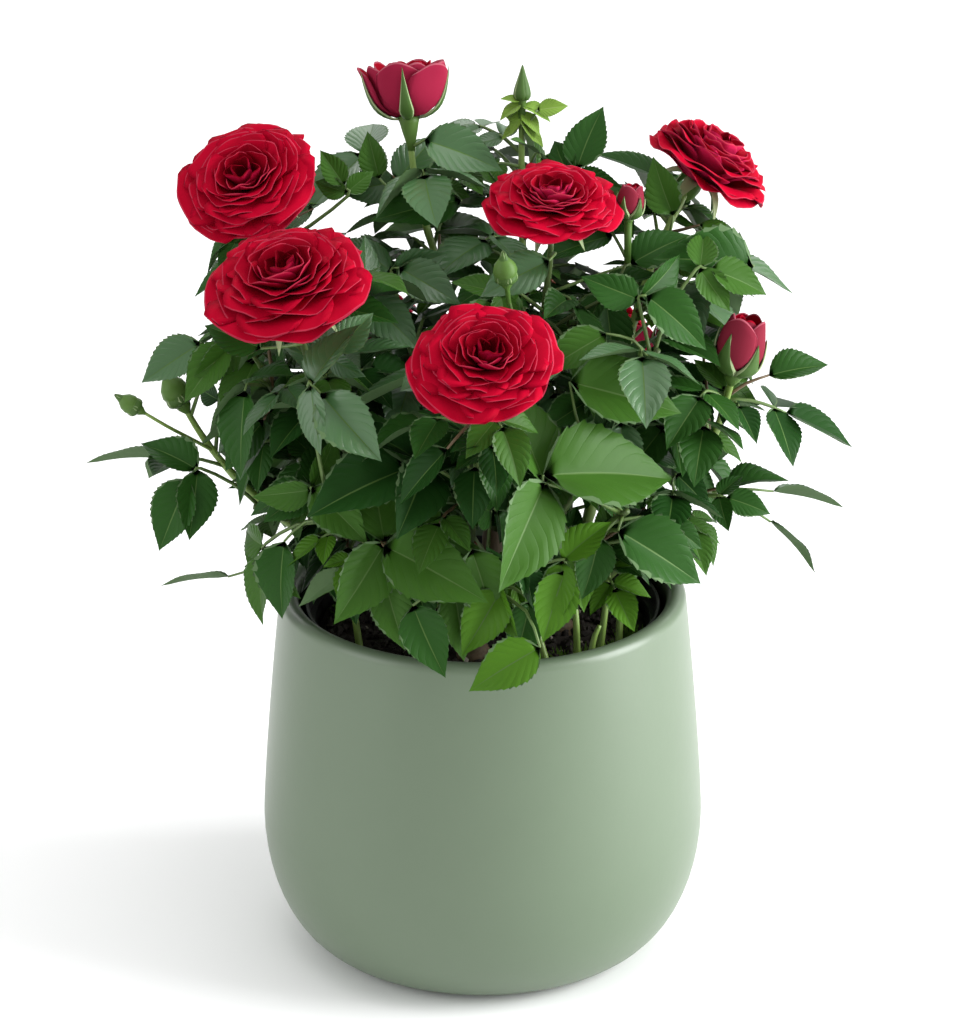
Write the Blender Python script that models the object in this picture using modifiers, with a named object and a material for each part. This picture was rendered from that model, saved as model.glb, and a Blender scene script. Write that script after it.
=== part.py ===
"""Miniature rose bush in a glazed planter, as closed solids.

A cluster of woody stems stands in the root ball of a nursery pot, which stands in a belly-shaped ceramic
planter. Each stem carries canes. Each cane runs bare to the edge of a foliage mass and goes on inside it as
that mass's own stem, with compound leaves, buds and a bloom fused to it.
Origin: centre of the planter's flat underside. +Z up, the plant's front towards -Y. Units: metres.
"""

import math
import random
from collections import namedtuple
from itertools import combinations

import bmesh
import bpy
from mathutils import Matrix, Vector
from mathutils.bvhtree import BVHTree

MM = 0.001
CLEARANCE = 0.3 * MM  # between two solids that touch on the real plant
UP = Vector((0, 0, 1))

# ---- Driving dimensions: planter, nursery pot, root ball --------------------------------------------------
PLANTER_HEIGHT = 126 * MM
PLANTER_FOOT_RADIUS = 50 * MM
PLANTER_BELLY_RADIUS = 75 * MM
PLANTER_BELLY_HEIGHT = 45 * MM
PLANTER_SHOULDER_DROP = 7 * MM  # how far the wall draws in between the belly and the lip
PLANTER_SHOULDER_POWER = 1.3
PLANTER_WALL = 6.6 * MM
PLANTER_FLOOR = 8 * MM
PLANTER_SEGMENTS = 32

LINER_TOP = 121 * MM
LINER_RIM_RADIUS = 59.6 * MM
LINER_RIM_DEPTH = 7 * MM
LINER_BODY_RADIUS = 57.5 * MM  # just under the rim
LINER_FOOT_RADIUS = 45 * MM
LINER_WALL = 1.2 * MM
LINER_SEGMENTS = 32

SOIL_TOP = 112 * MM
SOIL_DIP = 2.5 * MM  # deepest hollow in the soil's surface
SOIL_RINGS = 4
SOIL_FLAT_AROUND_STEM = 11 * MM
SOIL_SEED = 5

# ---- Driving dimensions: wood -----------------------------------------------------------------------------
STEM_FOOT_FLARE = 6.0 * MM
STEM_RADIUS = 4.2 * MM
STEM_TOP_RADIUS = 3.0 * MM
STEM_SIDES = 8
CANE_RADIUS = 1.9 * MM
CANE_TIP_RADIUS = 1.0 * MM
CANE_SIDES = 5
CANE_STEP = 12 * MM  # length of one straight piece of a cane
CANE_LEAVES_STEM_AT = math.radians(52)  # from the stem's own line
CANE_REACH = 0.36  # length of a cane's curve handles, as a share of its span
MASS_STARTS = 0.26  # share of a cane's length that is bare wood
SIDE_TWIG_RADIUS = 0.9 * MM

# ---- Driving dimensions: compound leaves -------------------------------------------------------------------
LEAF_SPACING = 8 * MM
LEAF_TURN = math.radians(137.5)
LEAF_TRIES = 24
LEAF_DROOP = {"open": (0, 45), "cup": (0, 45), "red_bud": (5, 55), "green_bud": (5, 55), None: (25, 70)}  # degrees
PETIOLE_RADIUS = 0.7 * MM
PETIOLE_SIDES = 3
TERMINAL_LEAFLET = 36 * MM
PAIRS_AT = (0.17, 0.66)  # how far behind the last leaflet each pair sits, in lengths of that leaflet
PAIR_SIZES = (0.84, 0.68)
PAIR_SPREAD = (58, 74)  # degrees between a side leaflet and the leaf's line
JOINT_LENGTH = 2.4 * MM  # how much of the leaf's line a side leaflet is joined along
LEAFLET_WIDTH = 0.60  # of its length
LEAFLET_WIDEST = 0.44  # of its length, from the base
LEAFLET_BEND = 0.12  # how far the tip bends down, of the length
LEAFLET_THICKNESS = 0.022  # of its length
PROXY_THICKNESS = 0.055  # the same for the shape that keeps leaves clear of each other
ROOT_IN_STEM = 5 * MM  # how much of a petiole counts as in or at its own stem

# Widest reach of the leaves that the rule places: height and distance from the axis, in mm. Towards the
# back it grows by CROWN_BACK.
CROWN = [(112, 50), (122, 62), (136, 80), (165, 86), (180, 96), (215, 94), (240, 84), (262, 66), (284, 40)]
CROWN_BACK = 0.36

AIM_SEED = 99
AIM_TRIES = 30
AIM_SHIFT = 7 * MM  # furthest that an aimed leaf gives way along each axis

Stem = namedtuple("Stem", "name foot top")
STEMS = {
    "west": Stem("stem_west", (-24, 2), (-33, 3, 148)),
    "south": Stem("stem_south", (-3, -25), (-4, -34, 148)),
    "east": Stem("stem_east", (25, -3), (34, -4, 148)),
    "north": Stem("stem_north", (3, 25), (4, 33, 150)),
}

# A shoot is one cane with its mass. fork: share of the stem's height where the cane leaves it. tip and axis:
# where the cane ends, in mm, and which way it points there. bloom: what it carries, and how wide in mm.
# leaves: size of its leaves against the common size. seed: starts the rule that places them.
Shoot = namedtuple("Shoot", "name stem fork tip axis bloom width leaves seed")
SHOOTS = [
    Shoot("back_skirt", "north", 0.40, (2, 64, 158), (0.05, 0.97, 0.20), None, 0, 1.0, 120),
    Shoot("back_left_skirt", "west", 0.24, (-54, 40, 162), (-0.80, 0.50, 0.30), None, 0, 1.0, 49),
    Shoot("back_right_skirt", "east", 0.34, (56, 38, 158), (0.80, 0.50, 0.30), None, 0, 1.0, 31),
    Shoot("left_bloom", "south", 0.86, (-59, -44, 237), (-0.15, -0.38, 0.91), "open", 56, 1.0, 75),
    Shoot("middle_bloom", "south", 1.00, (1, -72, 222), (-0.03, -0.56, 0.83), "open", 50, 1.0, 32),
    Shoot("front_skirt", "south", 0.42, (2, -60, 150), (0.10, -0.97, -0.20), None, 0, 0.95, 22),
    Shoot("front_left", "south", 0.62, (-50, -52, 172), (-0.50, -0.70, 0.50), None, 0, 1.0, 46),
    Shoot("upper_left_bloom", "west", 0.88, (-74, 8, 260), (-0.22, -0.50, 0.84), "open", 49, 1.0, 60),
    Shoot("left_buds", "west", 0.66, (-99, 6, 188), (-0.45, 0.10, 0.88), "green_bud", 11, 0.9, 7),
    Shoot("left_skirt", "west", 0.40, (-76, -4, 156), (-0.95, -0.15, 0.05), None, 0, 1.0, 81),
    Shoot("right_bud", "east", 0.80, (81, -14, 205), (0.18, -0.05, 0.98), "red_bud", 17, 0.95, 72),
    Shoot("right_skirt", "east", 0.52, (76, 0, 160), (0.95, -0.05, 0.20), None, 0, 0.9, 74),
    Shoot("front_right", "east", 0.40, (46, -50, 172), (0.45, -0.75, 0.48), None, 0, 1.05, 91),
    Shoot("upper_right_bloom", "east", 1.00, (69, 28, 258), (0.52, 0.28, 0.80), "open", 47, 1.0, 29),
    Shoot("top_middle_bloom", "north", 0.78, (22, -8, 249), (0.05, -0.32, 0.94), "open", 52, 1.0, 37),
    Shoot("top_cup", "north", 1.00, (-24, 31, 276), (-0.03, 0.30, 0.95), "cup", 30, 1.0, 59),
    Shoot("top_bud", "north", 0.90, (13, 42, 277), (0.02, 0.05, 1.00), "green_bud", 6.5, 0.9, 77),
    Shoot("back_left_bloom", "north", 0.24, (-42, 74, 186), (-0.35, 0.70, 0.62), "open", 46, 1.0, 28),
    Shoot("back_right_bloom", "east", 0.24, (40, 76, 182), (0.30, 0.72, 0.62), "open", 48, 1.0, 21),
    Shoot("left_middle", "west", 0.54, (-70, -20, 206), (-0.50, -0.35, 0.80), None, 0, 0.95, 10),
    Shoot("right_middle", "south", 0.74, (56, -26, 218), (0.35, -0.30, 0.88), None, 0, 0.95, 33),
    Shoot("centre_left", "north", 0.54, (-26, -8, 222), (-0.25, -0.30, 0.92), None, 0, 0.95, 16),
    Shoot("centre_right", "east", 0.90, (30, 18, 222), (0.10, 0.10, 0.98), None, 0, 0.95, 155),
]

# Buds on side twigs: the shoot, where along its cane, the twig's tip in mm, its way, what it carries, width.
SideBud = namedtuple("SideBud", "shoot along tip axis bloom width")
SIDE_BUDS = [
    SideBud("top_middle_bloom", 0.70, (47, 0, 240), (0.10, 0.05, 0.98), "red_bud", 9.5),
    SideBud("top_middle_bloom", 0.74, (8, -36, 239), (-0.10, -0.25, 0.96), "green_bud", 9),
    SideBud("left_buds", 0.80, (-112, -10, 192), (-0.80, -0.10, 0.58), "green_bud", 7.5),
    SideBud("back_right_bloom", 0.76, (62, 56, 190), (0.30, 0.35, 0.88), "red_bud", 10),
]

# Leaves that reach furthest out, set before the others: the shoot, the base and the tip of the leaflet at
# the leaf's end in mm, the way its upper face looks, and how many pairs of leaflets stand behind it.
Aimed = namedtuple("Aimed", "shoot base tip face pairs")
AIMED_LEAVES = [
    Aimed("left_buds", (-106, 0, 172), (-131, 0, 174), (0.04, 0.36, 0.93), 1),
    Aimed("left_buds", (-94, 0, 215), (-114, -4, 203), (-0.3, -0.8, 0.5), 0),
    Aimed("left_skirt", (-96, -18, 171), (-107, -22, 147), (-0.35, -0.85, 0.35), 1),
    Aimed("left_skirt", (-86, 8, 126), (-109, 8, 127), (0.04, 0.36, 0.93), 0),
    Aimed("left_skirt", (-83, -10, 178), (-85, -12, 152), (-0.9, -0.4, 0.1), 0),
    Aimed("front_left", (-72, -30, 148), (-75, -32, 124), (-0.8, -0.55, 0.1), 1),
    Aimed("front_left", (-63, -38, 157), (-67, -42, 131), (-0.5, -0.85, 0.1), 0),
    Aimed("front_left", (-50, -66, 217), (-32, -76, 198), (-0.2, -0.8, 0.55), 1),
    Aimed("front_left", (-67, -52, 214), (-87, -50, 204), (-0.2, -0.75, 0.6), 1),
    Aimed("left_bloom", (-46, -52, 226), (-34, -46, 237), (0.2, -0.8, 0.5), 1),
    Aimed("left_bloom", (-69, -52, 227), (-87, -46, 234), (-0.2, -0.7, 0.65), 0),
    Aimed("upper_left_bloom", (-45, 14, 261), (-53, 18, 272), (0, -0.85, 0.5), 1),
    Aimed("upper_left_bloom", (-71, 0, 249), (-88, -4, 251), (0, -0.7, 0.7), 0),
    Aimed("top_cup", (-34, 26, 260), (-38, 30, 275), (-0.2, -0.9, 0.3), 0),
    Aimed("top_cup", (-19, 26, 273), (7, 20, 267), (-0.1, -0.75, 0.65), 0),
    Aimed("top_bud", (31, 30, 262), (38, 40, 282), (-0.3, -0.85, 0.3), 1),
    Aimed("top_bud", (13, 42, 275), (5, 40, 279), (-0.2, -0.8, 0.5), 0),
    Aimed("top_bud", (14, 42, 276), (24, 40, 278), (0.2, -0.8, 0.5), 0),
    Aimed("upper_right_bloom", (62, 10, 252), (54, 14, 270), (-0.3, -0.85, 0.3), 0),
    Aimed("upper_right_bloom", (71, 16, 247), (85, 14, 244), (0.1, -0.4, 0.9), 0),
    Aimed("upper_right_bloom", (78, 12, 238), (104, 12, 228), (0.2, -0.05, 0.98), 1),
    Aimed("upper_right_bloom", (82, 2, 233), (51, -8, 242), (0, -0.7, 0.7), 0),
    Aimed("top_middle_bloom", (45, 0, 236), (64, 6, 246), (-0.1, -0.8, 0.55), 0),
    Aimed("right_bud", (93, -10, 204), (113, -6, 208), (0.1, -0.5, 0.86), 0),
    Aimed("right_bud", (99, -10, 191), (123, -6, 178), (0.25, -0.15, 0.95), 1),
    Aimed("right_skirt", (82, -5, 164), (103, 0, 167), (-0.1, -0.2, 0.97), 0),
    Aimed("right_skirt", (97, 5, 158), (121, 8, 155), (0.1, 0.36, 0.93), 0),
    Aimed("right_skirt", (80, -14, 163), (95, -16, 159), (0.2, -0.8, 0.5), 1),
    Aimed("right_skirt", (96, 0, 149), (114, 0, 134), (0.65, 0.27, 0.7), 0),
    Aimed("front_right", (60, -36, 162), (72, -36, 154), (0.2, -0.85, 0.4), 0),
    Aimed("front_right", (43, -54, 167), (72, -52, 148), (0.1, -0.75, 0.65), 1),
    Aimed("front_right", (19, -66, 190), (63, -44, 186), (0.1, -0.7, 0.7), 1),
    Aimed("front_right", (29, -48, 214), (66, -42, 203), (0.1, -0.7, 0.7), 0),
    Aimed("front_skirt", (-31, -60, 164), (1, -76, 154), (-0.2, -0.8, 0.55), 1),
    Aimed("front_skirt", (18, -78, 137), (-5, -84, 126), (-0.1, -0.8, 0.6), 0),
    Aimed("front_skirt", (-22, -68, 147), (-13, -80, 127), (-0.1, -0.9, 0.4), 0),
    Aimed("front_skirt", (26, -66, 158), (18, -74, 137), (0.1, -0.95, 0.3), 1),
    Aimed("middle_bloom", (6, -72, 208), (13, -86, 195), (0.3, -0.75, 0.6), 1),
    Aimed("middle_bloom", (-11, -72, 201), (-27, -74, 184), (-0.6, -0.5, 0.6), 0),
    Aimed("front_skirt", (-1, -60, 159), (8, -66, 134), (0.1, -0.9, 0.4), 0),
    Aimed("front_skirt", (5, -62, 165), (-6, -70, 146), (-0.3, -0.85, 0.4), 0),
    Aimed("front_right", (37, -54, 165), (33, -60, 145), (0.2, -0.9, 0.3), 0),
    Aimed("front_left", (-12, -66, 189), (-26, -70, 168), (-0.3, -0.8, 0.5), 0),
    Aimed("front_left", (-52, -54, 180), (-34, -62, 165), (-0.1, -0.85, 0.5), 1),
    Aimed("top_cup", (-7, 14, 256), (-36, 6, 254), (0.05, -0.6, 0.8), 0),
    Aimed("centre_left", (-27, -8, 242), (-7, -16, 233), (0, -0.8, 0.6), 1),
    Aimed("centre_left", (-36, -14, 231), (-18, -24, 219), (0, -0.8, 0.6), 1),
    Aimed("top_middle_bloom", (21, -24, 247), (-1, -30, 238), (-0.1, -0.75, 0.65), 0),
    Aimed("centre_right", (40, -2, 228), (42, -10, 206), (0.2, -0.9, 0.4), 1),
    Aimed("right_middle", (52, -26, 236), (73, -30, 221), (0.1, -0.75, 0.65), 1),
    Aimed("right_middle", (44, -30, 230), (24, -38, 221), (-0.1, -0.75, 0.65), 0),
    Aimed("left_middle", (-81, -24, 219), (-97, -28, 202), (-0.3, -0.75, 0.6), 1),
    Aimed("left_middle", (-70, -34, 197), (-83, -38, 181), (-0.3, -0.8, 0.5), 1),
    Aimed("right_skirt", (67, -10, 170), (79, -14, 160), (0.2, -0.85, 0.45), 0),
    Aimed("right_middle", (68, -18, 236), (88, -16, 229), (0.2, -0.7, 0.7), 1),
    Aimed("upper_left_bloom", (-61, 16, 250), (-79, 12, 247), (0, -0.7, 0.7), 0),
    Aimed("left_middle", (-80, -28, 229), (-92, -26, 235), (-0.3, -0.7, 0.6), 0),
]
BARE_NECK = {"open": 17 * MM, "cup": 20 * MM, "red_bud": 9 * MM, "green_bud": 12 * MM, None: 2 * MM}

# Bloom outlines from the axis under the bloom over the rim to the axis on top: distance from the axis and
# height, in bloom widths, then how strongly that ring is scalloped into petals.
BLOOM_OUTLINES = {
    "open": [
        (0.045, 0.00, 0), (0.085, 0.06, 0), (0.300, 0.15, 0.03), (0.490, 0.25, 0.05), (0.430, 0.31, 0.04),
        (0.370, 0.29, -0.05), (0.300, 0.40, 0.05), (0.190, 0.36, -0.06), (0.100, 0.42, 0),
    ],
    "cup": [
        (0.060, 0.00, 0), (0.110, 0.12, 0), (0.330, 0.30, 0.03), (0.430, 0.55, 0.04), (0.500, 0.86, 0.06),
        (0.400, 0.82, -0.05), (0.300, 0.90, 0.06), (0.160, 0.76, 0),
    ],
    "red_bud": [
        (0.100, 0.00, 0), (0.230, 0.16, 0), (0.470, 0.52, 0), (0.490, 0.90, 0.03), (0.380, 1.28, 0.08),
        (0.180, 1.24, 0),
    ],
    "green_bud": [
        (0.120, 0.00, 0), (0.300, 0.22, 0), (0.500, 0.70, 0), (0.440, 1.10, 0), (0.160, 1.55, 0),
        (0.060, 1.95, 0),
    ],
}
BLOOM_SEGMENTS = {"open": 12, "cup": 10, "red_bud": 8, "green_bud": 6}
BLOOM_SUNK = 3 * MM  # how far the twig's end reaches into a bloom

COLOURS = {
    "planter_glaze": (0.30, 0.37, 0.29, 1.0),
    "liner_plastic": (0.012, 0.012, 0.013, 1.0),
    "soil": (0.030, 0.021, 0.015, 1.0),
    "bark": (0.13, 0.15, 0.05, 1.0),
    "foliage": (0.030, 0.085, 0.022, 1.0),
}
ROUGHNESS = {"planter_glaze": 0.42, "liner_plastic": 0.35, "soil": 0.95, "bark": 0.6, "foliage": 0.5}

Leaflet = namedtuple("Leaflet", "base way face length")
Leaf = namedtuple("Leaf", "spine radius leaflets joints")
Twig = namedtuple("Twig", "points radii")
Flower = namedtuple("Flower", "base axis kind width")


# ---- The growth rule ----------------------------------------------------------------------------------------
def in_mm(values):
    return Vector(values) * MM


def curve_point(ends, t):
    """A point on the cubic curve with these four control points."""
    a, b, c, d = ends
    s = 1 - t
    return a * s**3 + b * (3 * s * s * t) + c * (3 * s * t * t) + d * t**3


def walk(ends, step):
    """Evenly spaced points along that curve, about one step apart."""
    fine = [curve_point(ends, i / 60) for i in range(61)]
    lengths = [0.0]
    for a, b in zip(fine, fine[1:]):
        lengths.append(lengths[-1] + (b - a).length)
    count = max(3, round(lengths[-1] / step))
    points = []
    i = 0
    for k in range(count + 1):
        target = lengths[-1] * k / count
        while i < 59 and lengths[i + 1] < target:
            i += 1
        share = (target - lengths[i]) / (lengths[i + 1] - lengths[i])
        points.append(fine[i].lerp(fine[i + 1], share))
    return points


def taper(start, end, count):
    return [start + (end - start) * i / (count - 1) for i in range(count)]


def stem_points(stem):
    """The stem's centreline, from its flat foot on the soil to its top."""
    foot = Vector((stem.foot[0] * MM, stem.foot[1] * MM, SOIL_TOP + CLEARANCE))
    top = in_mm(stem.top)
    ends = (foot, foot + UP * (top.z - foot.z) * 0.4, foot.lerp(top, 0.6), top)
    return [curve_point(ends, t) for t in (0, 0.1, 0.3, 0.6, 1)]


def stem_radii():
    slim = taper(STEM_RADIUS, STEM_TOP_RADIUS, 4)
    return [STEM_FOOT_FLARE] + slim


def point_on(points, share):
    at = share * (len(points) - 1)
    i = min(int(at), len(points) - 2)
    return points[i].lerp(points[i + 1], at - i)


def cane_points(shoot):
    """The whole centreline of a shoot, from its stem to its tip."""
    line = stem_points(STEMS[shoot.stem])
    tip, axis = in_mm(shoot.tip), Vector(shoot.axis).normalized()
    along = (line[-1] - line[0]).normalized()
    if shoot.fork >= 1:
        start = line[-1] + along * CLEARANCE
        way = along
    else:
        foot = point_on(line, shoot.fork)
        outward = tip - foot
        outward = (outward - along * outward.dot(along)).normalized()
        bend = CANE_LEAVES_STEM_AT
        way = outward * math.sin(bend) + along * math.cos(bend)
        stem_radius = point_on([Vector((r, 0, 0)) for r in stem_radii()], shoot.fork).x
        widest = stem_radius + CLEARANCE + CANE_RADIUS * math.cos(bend)
        start = foot + outward * widest
    handle = (tip - start).length * CANE_REACH
    return walk((start, start + way * handle, tip - axis * handle, tip), CANE_STEP)


def across(way):
    """Two unit vectors at right angles to way and to each other, the first one level."""
    side = way.cross(UP)
    if side.length < 1e-4:
        side = Vector((1, 0, 0))
    side.normalize()
    return side, side.cross(way).normalized()


def along_curve(ends, lengths):
    """Points on the curve at these lengths from its start, and the curve's whole length."""
    fine = [curve_point(ends, i / 40) for i in range(41)]
    sums = [0.0]
    for a, b in zip(fine, fine[1:]):
        sums.append(sums[-1] + (b - a).length)
    points = []
    for length in lengths(sums[-1]):
        i = max(0, min(39, next((k for k, total in enumerate(sums) if total > length), 40) - 1))
        points.append(fine[i].lerp(fine[i + 1], (length - sums[i]) / (sums[i + 1] - sums[i])))
    return points


def compound_leaf(rng, root, base, way, face, size, pairs):
    """A petiole that arches from its root to the base of the leaf's last leaflet, with pairs on the way.

    Its line has two points at each pair, JOINT_LENGTH apart; joints lists the number of the first of the two.
    """
    span = (base - root).length
    first_way = ((base - root).normalized() + UP * 0.35).normalized()
    ends = (root, root + first_way * span * 0.35, base - way * span * 0.35, base)
    back = [at * size for at in PAIRS_AT[:pairs] if at * size < 0.62 * span]
    back = back[::-1]

    def lengths(whole):
        first = whole - (back[0] if back else 0)
        stops = [0.0, first * 0.5] if first > 14 * MM else [0.0]
        for away in back:
            stops += [whole - away - JOINT_LENGTH / 2, whole - away + JOINT_LENGTH / 2]
        return stops + [whole]

    spine = along_curve(ends, lengths)
    face = (face - way * face.dot(way)).normalized()
    first_joint = len(spine) - 1 - 2 * len(back)
    joints = [first_joint + 2 * k for k in range(len(back))]
    leaflets = []
    for k, joint in enumerate(joints):
        foot = (spine[joint] + spine[joint + 1]) / 2
        line = (spine[joint + 1] - spine[joint]).normalized()
        up = (face - line * face.dot(line)).normalized()
        level = up.cross(line)
        share = PAIR_SIZES[len(back) - 1 - k]
        for hand in (1, -1):
            spread = math.radians(rng.uniform(*PAIR_SPREAD))
            drop = rng.uniform(0.0, 0.35)
            aim = (line * math.cos(spread) + level * hand * math.sin(spread) - up * drop).normalized()
            tilt = up + level * hand * drop * 0.8
            tilt = (tilt - aim * tilt.dot(aim)).normalized()
            leaflets.append(Leaflet(foot, aim, tilt, size * share * rng.uniform(0.9, 1.05)))
    leaflets.append(Leaflet(base, way, face, size))
    return Leaf(spine, PETIOLE_RADIUS, leaflets, joints)


def leaf_by_rule(rng, root, stem_way, turn, size, droop_range):
    """A leaf that leaves its stem at this turn round it, leans outwards and droops towards its tip."""
    side, over = across(stem_way)
    outward = Vector((root.x, root.y, 0)).normalized()
    out = side * math.cos(turn) + over * math.sin(turn) + outward * 0.6
    out = Vector((out.x, out.y, out.z * 0.4)).normalized()
    pairs = rng.choice((1, 1, 2))
    length = (0.36 + 0.40 * pairs) * size * rng.uniform(0.9, 1.15)
    rise = math.radians(rng.uniform(-5, 45))
    droop = math.radians(rng.uniform(*droop_range))
    base = root + (out * math.cos(rise) + UP * math.sin(rise)) * length
    way = (out * math.cos(droop) - UP * math.sin(droop)).normalized()
    level = way.cross(UP).normalized()
    face = level.cross(way) + outward * 0.25 + level * rng.uniform(-0.4, 0.4)
    return compound_leaf(rng, root, base, way, face, size, pairs)


def aimed_leaf(rng, held, aim, shift):
    """A leaf whose last leaflet stands where AIMED_LEAVES puts it, rooted on the nearest fitting bit of cane."""
    base, tip = in_mm(aim.base) + shift, in_mm(aim.tip) + shift
    way = (tip - base).normalized()
    behind = base - way * (12 + 9 * aim.pairs) * MM - UP * 4 * MM
    lowest = (held["entry"] + 0.4) / (len(held["line"]) - 1)
    shares = [lowest + (0.95 - lowest) * i / 40 for i in range(41)]
    root = min((point_on(held["line"], share) for share in shares), key=lambda p: (p - behind).length)
    return compound_leaf(rng, root, base, way, Vector(aim.face), (tip - base).length, aim.pairs)


def leaflet_ring(leaflet, thickness):
    """The four corners of a leaflet where it is widest, {(side, face): corner}, and its tip."""
    size = leaflet.length
    side = leaflet.face.cross(leaflet.way).normalized() * (size * LEAFLET_WIDTH / 2)
    thick = leaflet.face * (size * thickness / 2)
    middle = leaflet.base + leaflet.way * (size * LEAFLET_WIDEST)
    corners = {(s, f): middle + side * s + thick * f for s in (1, -1) for f in (1, -1)}
    tip = leaflet.base + leaflet.way * size - leaflet.face * (size * LEAFLET_BEND)
    return corners, tip


def proxy_of_leaf(leaf):
    """Triangles that stand for a leaf, a little thicker than it, in tests for clearance."""
    points, faces = [], []
    for leaflet in leaf.leaflets:
        start = len(points)
        corners, tip = leaflet_ring(leaflet, PROXY_THICKNESS)
        points += [corners[1, 1], corners[1, -1], corners[-1, -1], corners[-1, 1], leaflet.base, tip]
        for k in range(4):
            faces += [(start + k, start + (k + 1) % 4, start + end) for end in (4, 5)]
    root, second = leaf.spine[:2]
    first = root.lerp(second, min(0.5, ROOT_IN_STEM / (second - root).length))
    add_proxy_tube([first] + leaf.spine[1:], [leaf.radius * 1.5] * len(leaf.spine), points, faces)
    return points, faces


def add_proxy_tube(line, radii, points, faces):
    """Adds an open four-sided tube along the line to these lists."""
    start = len(points)
    for i, centre in enumerate(line):
        way = (line[min(i + 1, len(line) - 1)] - line[max(i - 1, 0)]).normalized()
        side, over = across(way)
        for k in range(4):
            a = math.tau * k / 4
            points.append(centre + (side * math.cos(a) + over * math.sin(a)) * radii[i])
    for i in range(len(line) - 1):
        for k in range(4):
            a = start + i * 4 + k
            b = start + i * 4 + (k + 1) % 4
            faces += [(a, b, b + 4), (a, b + 4, a + 4)]


def proxy_of_tube(line, radii):
    points, faces = [], []
    add_proxy_tube(line, [r * 1.3 + 0.4 * MM for r in radii], points, faces)
    return points, faces


def proxy_of_flower(flower):
    bm = flower_solid(flower._replace(width=flower.width * 1.07))
    bmesh.ops.triangulate(bm, faces=bm.faces)
    points = [v.co.copy() for v in bm.verts]
    faces = [tuple(v.index for v in f.verts) for f in bm.faces]
    bm.free()
    return points, faces


def proxy_of_rim():
    """The upper wall of both pots and the soil's surface, 2 mm out from each, as rings round the axis."""
    margin = 2 * MM
    outline = [
        (PLANTER_BELLY_RADIUS + margin, 60 * MM),
        (PLANTER_BELLY_RADIUS - 2 * MM, 95 * MM),
        (PLANTER_BELLY_RADIUS - PLANTER_SHOULDER_DROP + margin, PLANTER_HEIGHT - 3 * MM),
        (PLANTER_BELLY_RADIUS - PLANTER_SHOULDER_DROP - 2 * MM, PLANTER_HEIGHT + margin),
        (LINER_RIM_RADIUS - 2.5 * MM, PLANTER_HEIGHT + margin),
        (LINER_RIM_RADIUS - 4 * MM, LINER_TOP - 2 * MM),
        (LINER_RIM_RADIUS - 5 * MM, SOIL_TOP + margin),
        (0.1 * MM, SOIL_TOP + margin),
    ]
    count = 32
    points, faces = [], []
    for away, height in outline:
        ring = [math.tau * k / count for k in range(count)]
        points += [Vector((away * math.cos(a), away * math.sin(a), height)) for a in ring]
    for i in range(len(outline) - 1):
        for k in range(count):
            a = i * count + k
            b = i * count + (k + 1) % count
            faces += [(a, b, b + count), (a, b + count, a + count)]
    return points, faces


class Space:
    """Everything placed so far, so that what comes next can keep clear of it."""

    def __init__(self):
        self.trees = []

    def add(self, shape):
        self.trees.append((BVHTree.FromPolygons(*shape), *box_of(shape[0])))

    def is_free(self, shape):
        low, high = box_of(shape[0])
        if low.z < PLANTER_HEIGHT * 0.8:
            return False
        tree = None
        for other, other_low, other_high in self.trees:
            if any(low[k] > other_high[k] or high[k] < other_low[k] for k in range(3)):
                continue
            tree = tree or BVHTree.FromPolygons(*shape)
            if tree.overlap(other):
                return False
        return True


def box_of(points):
    low = Vector([min(p[k] for p in points) for k in range(3)])
    high = Vector([max(p[k] for p in points) for k in range(3)])
    return low, high


def lay_out_wood():
    """Every cane with its twigs and flowers, as {shoot name: what its mass holds}."""
    plant = {}
    for shoot in SHOOTS:
        line = cane_points(shoot)
        entry = max(2, round(MASS_STARTS * (len(line) - 1)))
        held = {"line": line, "radii": taper(CANE_RADIUS, CANE_TIP_RADIUS, len(line)), "entry": entry}
        held.update(twigs=[], flowers=[], leaves=[])
        if shoot.bloom:
            axis = (line[-1] - line[-2]).normalized()
            held["flowers"].append(Flower(line[-1], axis, shoot.bloom, shoot.width * MM))
        plant[shoot.name] = held
    for bud in SIDE_BUDS:
        held = plant[bud.shoot]
        root, tip, axis = point_on(held["line"], bud.along), in_mm(bud.tip), Vector(bud.axis).normalized()
        reach = (tip - root).length * 0.4
        out = (tip - root).normalized()
        points = walk((root, root + out * reach, tip - axis * reach, tip), CANE_STEP)
        held["twigs"].append(Twig(points, taper(SIDE_TWIG_RADIUS, SIDE_TWIG_RADIUS * 0.8, len(points))))
        held["flowers"].append(Flower(tip, axis, bud.bloom, bud.width * MM))
    return plant


def fill_space(plant):
    """The space with all wood, flowers and both pots in it, before the first leaf."""
    space = Space()
    space.add(proxy_of_rim())
    for stem in STEMS.values():
        space.add(proxy_of_tube(stem_points(stem), stem_radii()))
    for held in plant.values():
        space.add(proxy_of_tube(held["line"], held["radii"]))
        for twig in held["twigs"]:
            space.add(proxy_of_tube(twig.points, twig.radii))
        for flower in held["flowers"]:
            space.add(proxy_of_flower(flower))
    return space


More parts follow.
